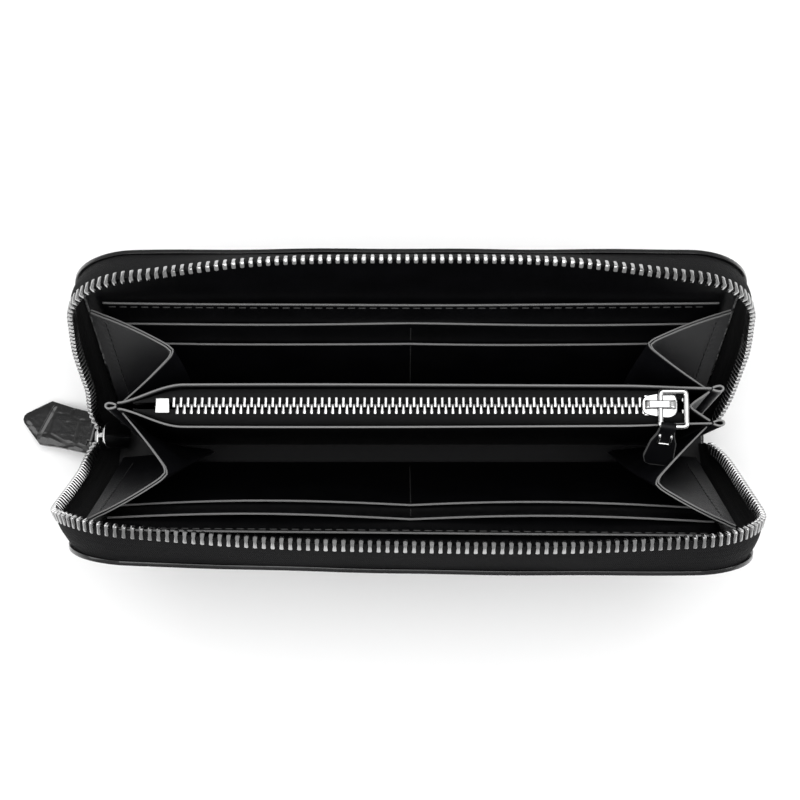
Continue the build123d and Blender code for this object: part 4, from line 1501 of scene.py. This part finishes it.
def puller(name):
    """The puller's strap, lying along +X from the ring."""
    length, bar, thick = BAR + 25.5 * MM, BAR, 2.6 * MM
    start, clear, arm = bar - 1.85 * MM, bar + 0.8 * MM, 3.8 * MM
    tip, shoulder = length, length - 8.5 * MM
    piece, u, v = grid(name, 84, 50, (tip - start, 15 * MM))
    ramp = np.linspace(0, 1, 85)
    stops_x = np.interp(ramp, [0, 0.06, 1], [start, clear, tip])
    x = np.interp(u, ramp, stops_x)
    half = np.interp(x, [start, shoulder, tip - 0.6 * MM, tip], np.array([6.5, 7.4, 1.6, 0.7]) * MM)
    half = half + 0.12 * MM * np.sin(x / (3.1 * MM))
    notch = np.array([-1, -(arm + 0.8 * MM) / (7 * MM), -(arm - 0.8 * MM) / (7 * MM),
                      (arm - 0.8 * MM) / (7 * MM), (arm + 0.8 * MM) / (7 * MM), 1])
    across = np.interp(v, [0, 0.18, 0.3, 0.7, 0.82, 1], notch)
    y = across * half
    crease = scale_relief(x, y + 8 * MM, 40 * MM, 17 * MM, PULLER_SCALES, 5)
    rim = np.minimum(half - np.abs(y), np.minimum(x - start, tip - x))
    crown = smooth(rim / (3 * MM)) * 0.35 * MM
    fold = np.exp(-((x - 0.72 * length - 0.25 * y) / (0.5 * MM)) ** 2)
    wavy = x / (0.9 * MM) + 2 * np.sin(y / (0.7 * MM))
    pebble = 0.04 * MM * np.sin(wavy) * np.sin(y / (0.8 * MM) + x / (2 * MM))
    z = thick / 2 - 0.35 * MM + crown - (0.1 * MM * crease - pebble) * smooth(rim / (0.8 * MM))
    z = z + 0.45 * MM * fold * smooth(rim / (2 * MM))
    move_points(piece, np.stack([x, y, z], axis=-1))
    paint(piece, "valley", crease * smooth(rim / (0.8 * MM)))
    for face in piece.data.polygons:
        cx, cy = face.center.x, abs(face.center.y)
        face.select = cx < clear - 0.01 * MM and cy < (arm + 0.78 * MM) * 0.93
    only(piece)
    bpy.ops.object.mode_set(mode="EDIT")
    bpy.ops.mesh.select_mode(type="FACE")
    bpy.ops.mesh.delete(type="FACE")
    bpy.ops.object.mode_set(mode="OBJECT")
    thicken(piece, thick - 0.35 * MM, offset=-1.0, soft=0.22)
    return piece


# %% [markdown]
# ## Putting the puller together
# Strap and tongue are the same hide, so they become one piece, and it moves with the puller.

# %% Finished puller
body = puller("puller_body")
loop = tongue("puller_tongue", BAR, 2.7 * MM, 0.68 * MM, 0.6 * MM, 1.2 * MM)
strap = join("croc_puller", [body, loop])
put(strap, PULL)
finish_piece(strap, "croc", "main_puller", ["main_puller_leather"], 50)

# %% [markdown]
# ## Leather tab of the coin zip
# The tab is a thin strip folded round the ring's front bar and closed by a small wire staple.

# %% Tab and staple
TAB_LEAN = math.radians(44)
tab_at = np.array(joints["coin_tab_swing"]["pos_m"])
tab_down = np.array([-0.16, -math.sin(TAB_LEAN), -math.cos(TAB_LEAN)])
tab_out = np.array([0, -math.cos(TAB_LEAN), math.sin(TAB_LEAN)])
TAB = frame_at(tab_at, tab_down, tab_out)


def coin_tab(name):
    """The tab's strip, narrow at the ring and rounded at its end."""
    start, length, thick = 0.8 * MM, 14 * MM, 1.0 * MM
    piece, u, v = grid(name, 40, 24, (length, 9 * MM))
    x = start + u * (length - start)
    half = np.interp(x, np.array([0.8, 3.0, 5.5, 11.2, 13.2, 14.0]) * MM,
                     np.array([2.3, 2.7, 3.8, 4.5, 3.7, 2.2]) * MM)
    y = (2 * v - 1) * half
    rim = np.minimum(half - np.abs(y), length - x)
    z = 0.12 * MM * smooth(rim / (1.2 * MM)) + 0.1 * MM * np.sin(x / (4 * MM))
    move_points(piece, np.stack([x, y, z], axis=-1))
    # The edge mark along the tab's rim makes its finish paint a faint pale highlight there.
    paint(piece, "edge", 0.5 * (1 - smooth(rim / (0.35 * MM))))
    thicken(piece, thick, offset=0.0, soft=0.35)
    return piece


# %% [markdown]
# ## Tab and staple
# The tab hangs outwards while the wallet is open, and its staple with it.

# %% Finished tab
tab = join("coin_tab", [coin_tab("tab_body"),
                        tongue("tab_tongue", 0.0, 2.2 * MM, 0.82 * MM, 0.4 * MM, 0.9 * MM)])
put(tab, TAB)
finish_piece(tab, "calf", "coin_tab", ["coin_tab_leather"])


def press_flat(piece):
    """Gives the tab or its staple its own copy of its mesh."""
    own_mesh(piece)


press_flat(tab)
staple_face = 0.62 * MM
route = [(2.6, -1.7, -0.3), (2.7, -1.7, 0.3), (4.6, -1.7, 0.35), (5.5, -1.7, 0.35), (5.5, -1.2, 0.35),
         (5.5, 1.2, 0.35), (5.5, 1.7, 0.35), (4.6, 1.7, 0.35), (2.7, 1.7, 0.3), (2.6, 1.7, -0.3)]
staple = wire("tab_staple", [(x * MM, y * MM, z * MM + staple_face) for x, y, z in route], 0.38 * MM)
put(staple, TAB)
finish_piece(staple, "metal", "coin_tab", ["coin_tab_staple"])
press_flat(staple)

# %% [markdown]
# ## Side gussets
# A gusset is a fold of soft leather, doubled, that lets a cover open and stops coins from falling out.
# It is sewn to the cover on one side and held at the coin compartment's end on the other, with one
# crease between, so it is a sheet bent once and rounded at the crease.

# %% Gussets
GUSSET_EDGE = HALF - 3.8 * MM
SEAM_LINE, SEAM_FOOT, SEAM_PITCH = 0.075, 0.12, 0.047
GUSSET_TOP = cad_height("rear_bill_panel", 1)


def gusset_place(end, side, u, v, shift):
    """Points of a gusset: u from the cover to the coin compartment, v from foot to top."""
    foot = 4 * MM
    edge = on_cover(side, end * GUSSET_EDGE + 0 * v, foot + v * (GUSSET_TOP - foot), 5.0 * MM + shift)
    z = COIN_FOOT + 1.0 * MM + v * (COIN_TOP - 5 * MM - COIN_FOOT)
    x_end = (-COIN_LEFT if end < 0 else COIN_RIGHT) - 1.0 * MM
    pocket_y = side * coin_middle(z) + coin_half(np.full_like(z, end * x_end), z) + 0.5 * MM
    panel = (30.5 - 2.0 * v) * MM
    gap = side * edge[:, 1] - pocket_y
    crease_x = GUSSET_EDGE - np.sqrt(panel ** 2 - (gap / 2) ** 2) + shift
    crease_y = (side * edge[:, 1] + pocket_y) / 2 + v * 1.8 * MM
    fold = np.stack([end * crease_x, side * crease_y, (edge[:, 2] + z) / 2], axis=-1)
    stop = np.stack([np.full_like(z, end * x_end), side * pocket_y, z], axis=-1)
    near = np.clip(u / 0.5, 0, 1)[:, None]
    far = np.clip((u - 0.5) / 0.5, 0, 1)[:, None]
    place = np.where((u < 0.5)[:, None], edge + (fold - edge) * near, fold + (stop - fold) * far)
    soft = np.exp(-((u - 0.5) / 0.035) ** 2)[:, None]
    place = place + ((edge + stop) / 2 - place) * soft * 0.045
    first = np.sin(np.pi * np.clip(2 * u, 0, 1))
    second = np.sin(np.pi * np.clip(2 * u - 1, 0, 1))
    place[:, 1] += side * 0.7 * MM * (first - 0.6 * second) * v
    place[:, 0] += end * 0.5 * MM * np.sin(2 * np.pi * v + end) * np.sin(np.pi * u)
    place[:, 2] -= 0.5 * MM * np.sin(np.pi * u) * v ** 3
    return place


# %% [markdown]
# ## Two layers and a seam
# The gusset is doubled leather, so two thin layers follow the same shape a little apart. Along the
# seam the leather is drawn in at each stitch: small dips at the seam's own pitch, with finer columns
# of the grid there, and the thread lies in them.

# %% Layers and seam
def gusset_layer(end, side, name, shift):
    """One layer of a gusset; shift sets it off from the other layer."""
    piece, u, v = grid(name, 64, 92, (56 * MM, 72 * MM))
    u = u ** 1.5
    points = gusset_place(end, side, u, v, shift)
    dip = 0.45 + 0.55 * np.cos(2 * np.pi * (v - SEAM_FOOT) / SEAM_PITCH)
    pucker = 0.6 * MM * dip * np.exp(-((u - SEAM_LINE) / 0.018) ** 2)
    points[:, 0] += end * pucker
    move_points(piece, points)
    # The edge mark along the top makes the gusset finish paint a pale highlight there.
    paint(piece, "edge", smooth((v - 0.99) / 0.008))
    thicken(piece, 0.4 * MM, offset=0.0, soft=0.4)
    return piece


def gusset_seam(end, side, name):
    """The line of stitches beside the gusset's seam with the cover, on its outer face."""
    levels = np.arange(SEAM_FOOT, 0.98, SEAM_PITCH)
    points = gusset_place(end, side, 0 * levels + SEAM_LINE, levels, GUSSET_GAP + 0.35 * MM)
    return seam(name, points, np.array([end * 0.8, -side * 0.5, 0.2]))


def bend_gusset(piece):
    """Bakes a gusset's place into its mesh."""
    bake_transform(piece)


# %% [markdown]
# ## Four gussets
# Each gusset is two layers a little apart, joined to one piece, with its line of stitches beside the
# seam. Blending sideways, from the compartment outwards, gives just that fold.

# %% Gussets in place
GUSSET_GAP = 0.9 * MM
for side_name, side in SIDES.items():
    for end_name, end in (("left", -1), ("right", 1)):
        name = f"gusset_{side_name}_{end_name}"
        layers = [gusset_layer(end, side, f"{name}_outer", 0.0),
                  gusset_layer(end, side, f"{name}_inner", GUSSET_GAP)]
        fold_piece = finish_piece(join(f"{name}_leather", layers), "gusset", None, [name])
        bend_gusset(fold_piece)
        stitches = finish_piece(gusset_seam(end, side, f"{name}_seam"), "thread")
        bend_gusset(stitches)

# %% [markdown]
# ## The seam round the outside
# The hide, the tape and the lining are sewn together close to the hide's edge. On the outside this
# shows as one line of stitches that follows the cover's outline.

# %% Outer seam
for side_name, side in SIDES.items():
    inset = 2.3 * MM
    length = 2 * (HEIGHT - CORNER) + 2 * (HALF - CORNER) + math.pi * (CORNER - inset)
    run = np.arange(9 * MM, length - 9 * MM, STITCH_STEP)
    x, height, _, _ = rim_flat(run, inset)
    line = on_cover(side, x, height, 0.02 * MM)
    outer_face = np.array([0, side * math.cos(LEAN[side]), -math.sin(LEAN[side])])
    finish_piece(seam(f"{side_name}_outer_seam", line, outer_face), "thread", f"{side_name}_cover")

# %% [markdown]
# ## Light and floor
# A pale floor, one broad soft light overhead, a weaker one at each side and a pale room, as in a plain
# product studio. Black leather shows only what it reflects, so the lights are large and even.

# %% Studio
def studio_floor():
    """A pale paper floor, which isn't part of the wallet."""
    bpy.ops.object.select_all(action="DESELECT")
    bpy.ops.mesh.primitive_plane_add(size=6)
    floor = bpy.context.active_object
    floor.name = "studio_floor"
    finish = Finish("studio_paper", Base_Color=(0.93, 0.93, 0.93, 1), Roughness=0.9, Specular_IOR_Level=0.1)
    floor.data.materials.append(finish.material)
    floor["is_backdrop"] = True


def soft_light(name, place, size, power, aim=(0, 0, 0.05)):
    """A rectangular lamp that looks at the wallet."""
    lamp = bpy.data.lights.new(name, "AREA")
    lamp.shape, lamp.size, lamp.size_y, lamp.energy = "RECTANGLE", size[0], size[1], power
    holder = bpy.data.objects.new(name, lamp)
    bpy.context.collection.objects.link(holder)
    holder.location = place
    holder.rotation_euler = (Vector(aim) - Vector(place)).to_track_quat("-Z", "Y").to_euler()


def studio():
    """Floor, lamps and the pale room."""
    studio_floor()
    soft_light("overhead_softbox", (0.0, 0.02, 1.05), (1.0, 1.0), 10.2)
    soft_light("left_softbox", (-0.95, -0.1, 0.6), (0.4, 0.8), 3.0)
    soft_light("right_softbox", (0.95, -0.1, 0.6), (0.4, 0.8), 3.0)
    world = bpy.data.worlds.new("pale_room")
    world.use_nodes = True
    world.node_tree.nodes["Background"].inputs[0].default_value = (1, 1, 1, 1)
    world.node_tree.nodes["Background"].inputs[1].default_value = 0.46
    bpy.context.scene.world = world
    bpy.context.scene.view_settings.view_transform = "Standard"


studio()

# %% [markdown]
# ## Camera
# It stands above the wallet and a little in front, tipped a few degrees from straight down. A long lens
# keeps the covers' edges nearly parallel, as in a catalogue.

# %% Camera
CAMERA_AT = (-3.2 * MM, -66.0 * MM, 578.0 * MM)
CAMERA_TIP = math.radians(7.84)
LENS, SENSOR = 78.75, 36
lens = bpy.data.cameras.new("camera")
lens.lens, lens.sensor_width = LENS, SENSOR
camera = bpy.data.objects.new("camera", lens)
bpy.context.collection.objects.link(camera)
camera.location = CAMERA_AT
camera.rotation_euler = (CAMERA_TIP, 0, 0)
bpy.context.scene.camera = camera
print("camera at", CAMERA_AT, "tipped", CAMERA_TIP)

# %% [markdown]
# ## The dressed wallet's size
# Dressing the frame should not make it bigger; the box round every piece that is shown is printed.

# %% The dressed wallet's size
low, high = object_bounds()
print("visual box", list(low), list(high))
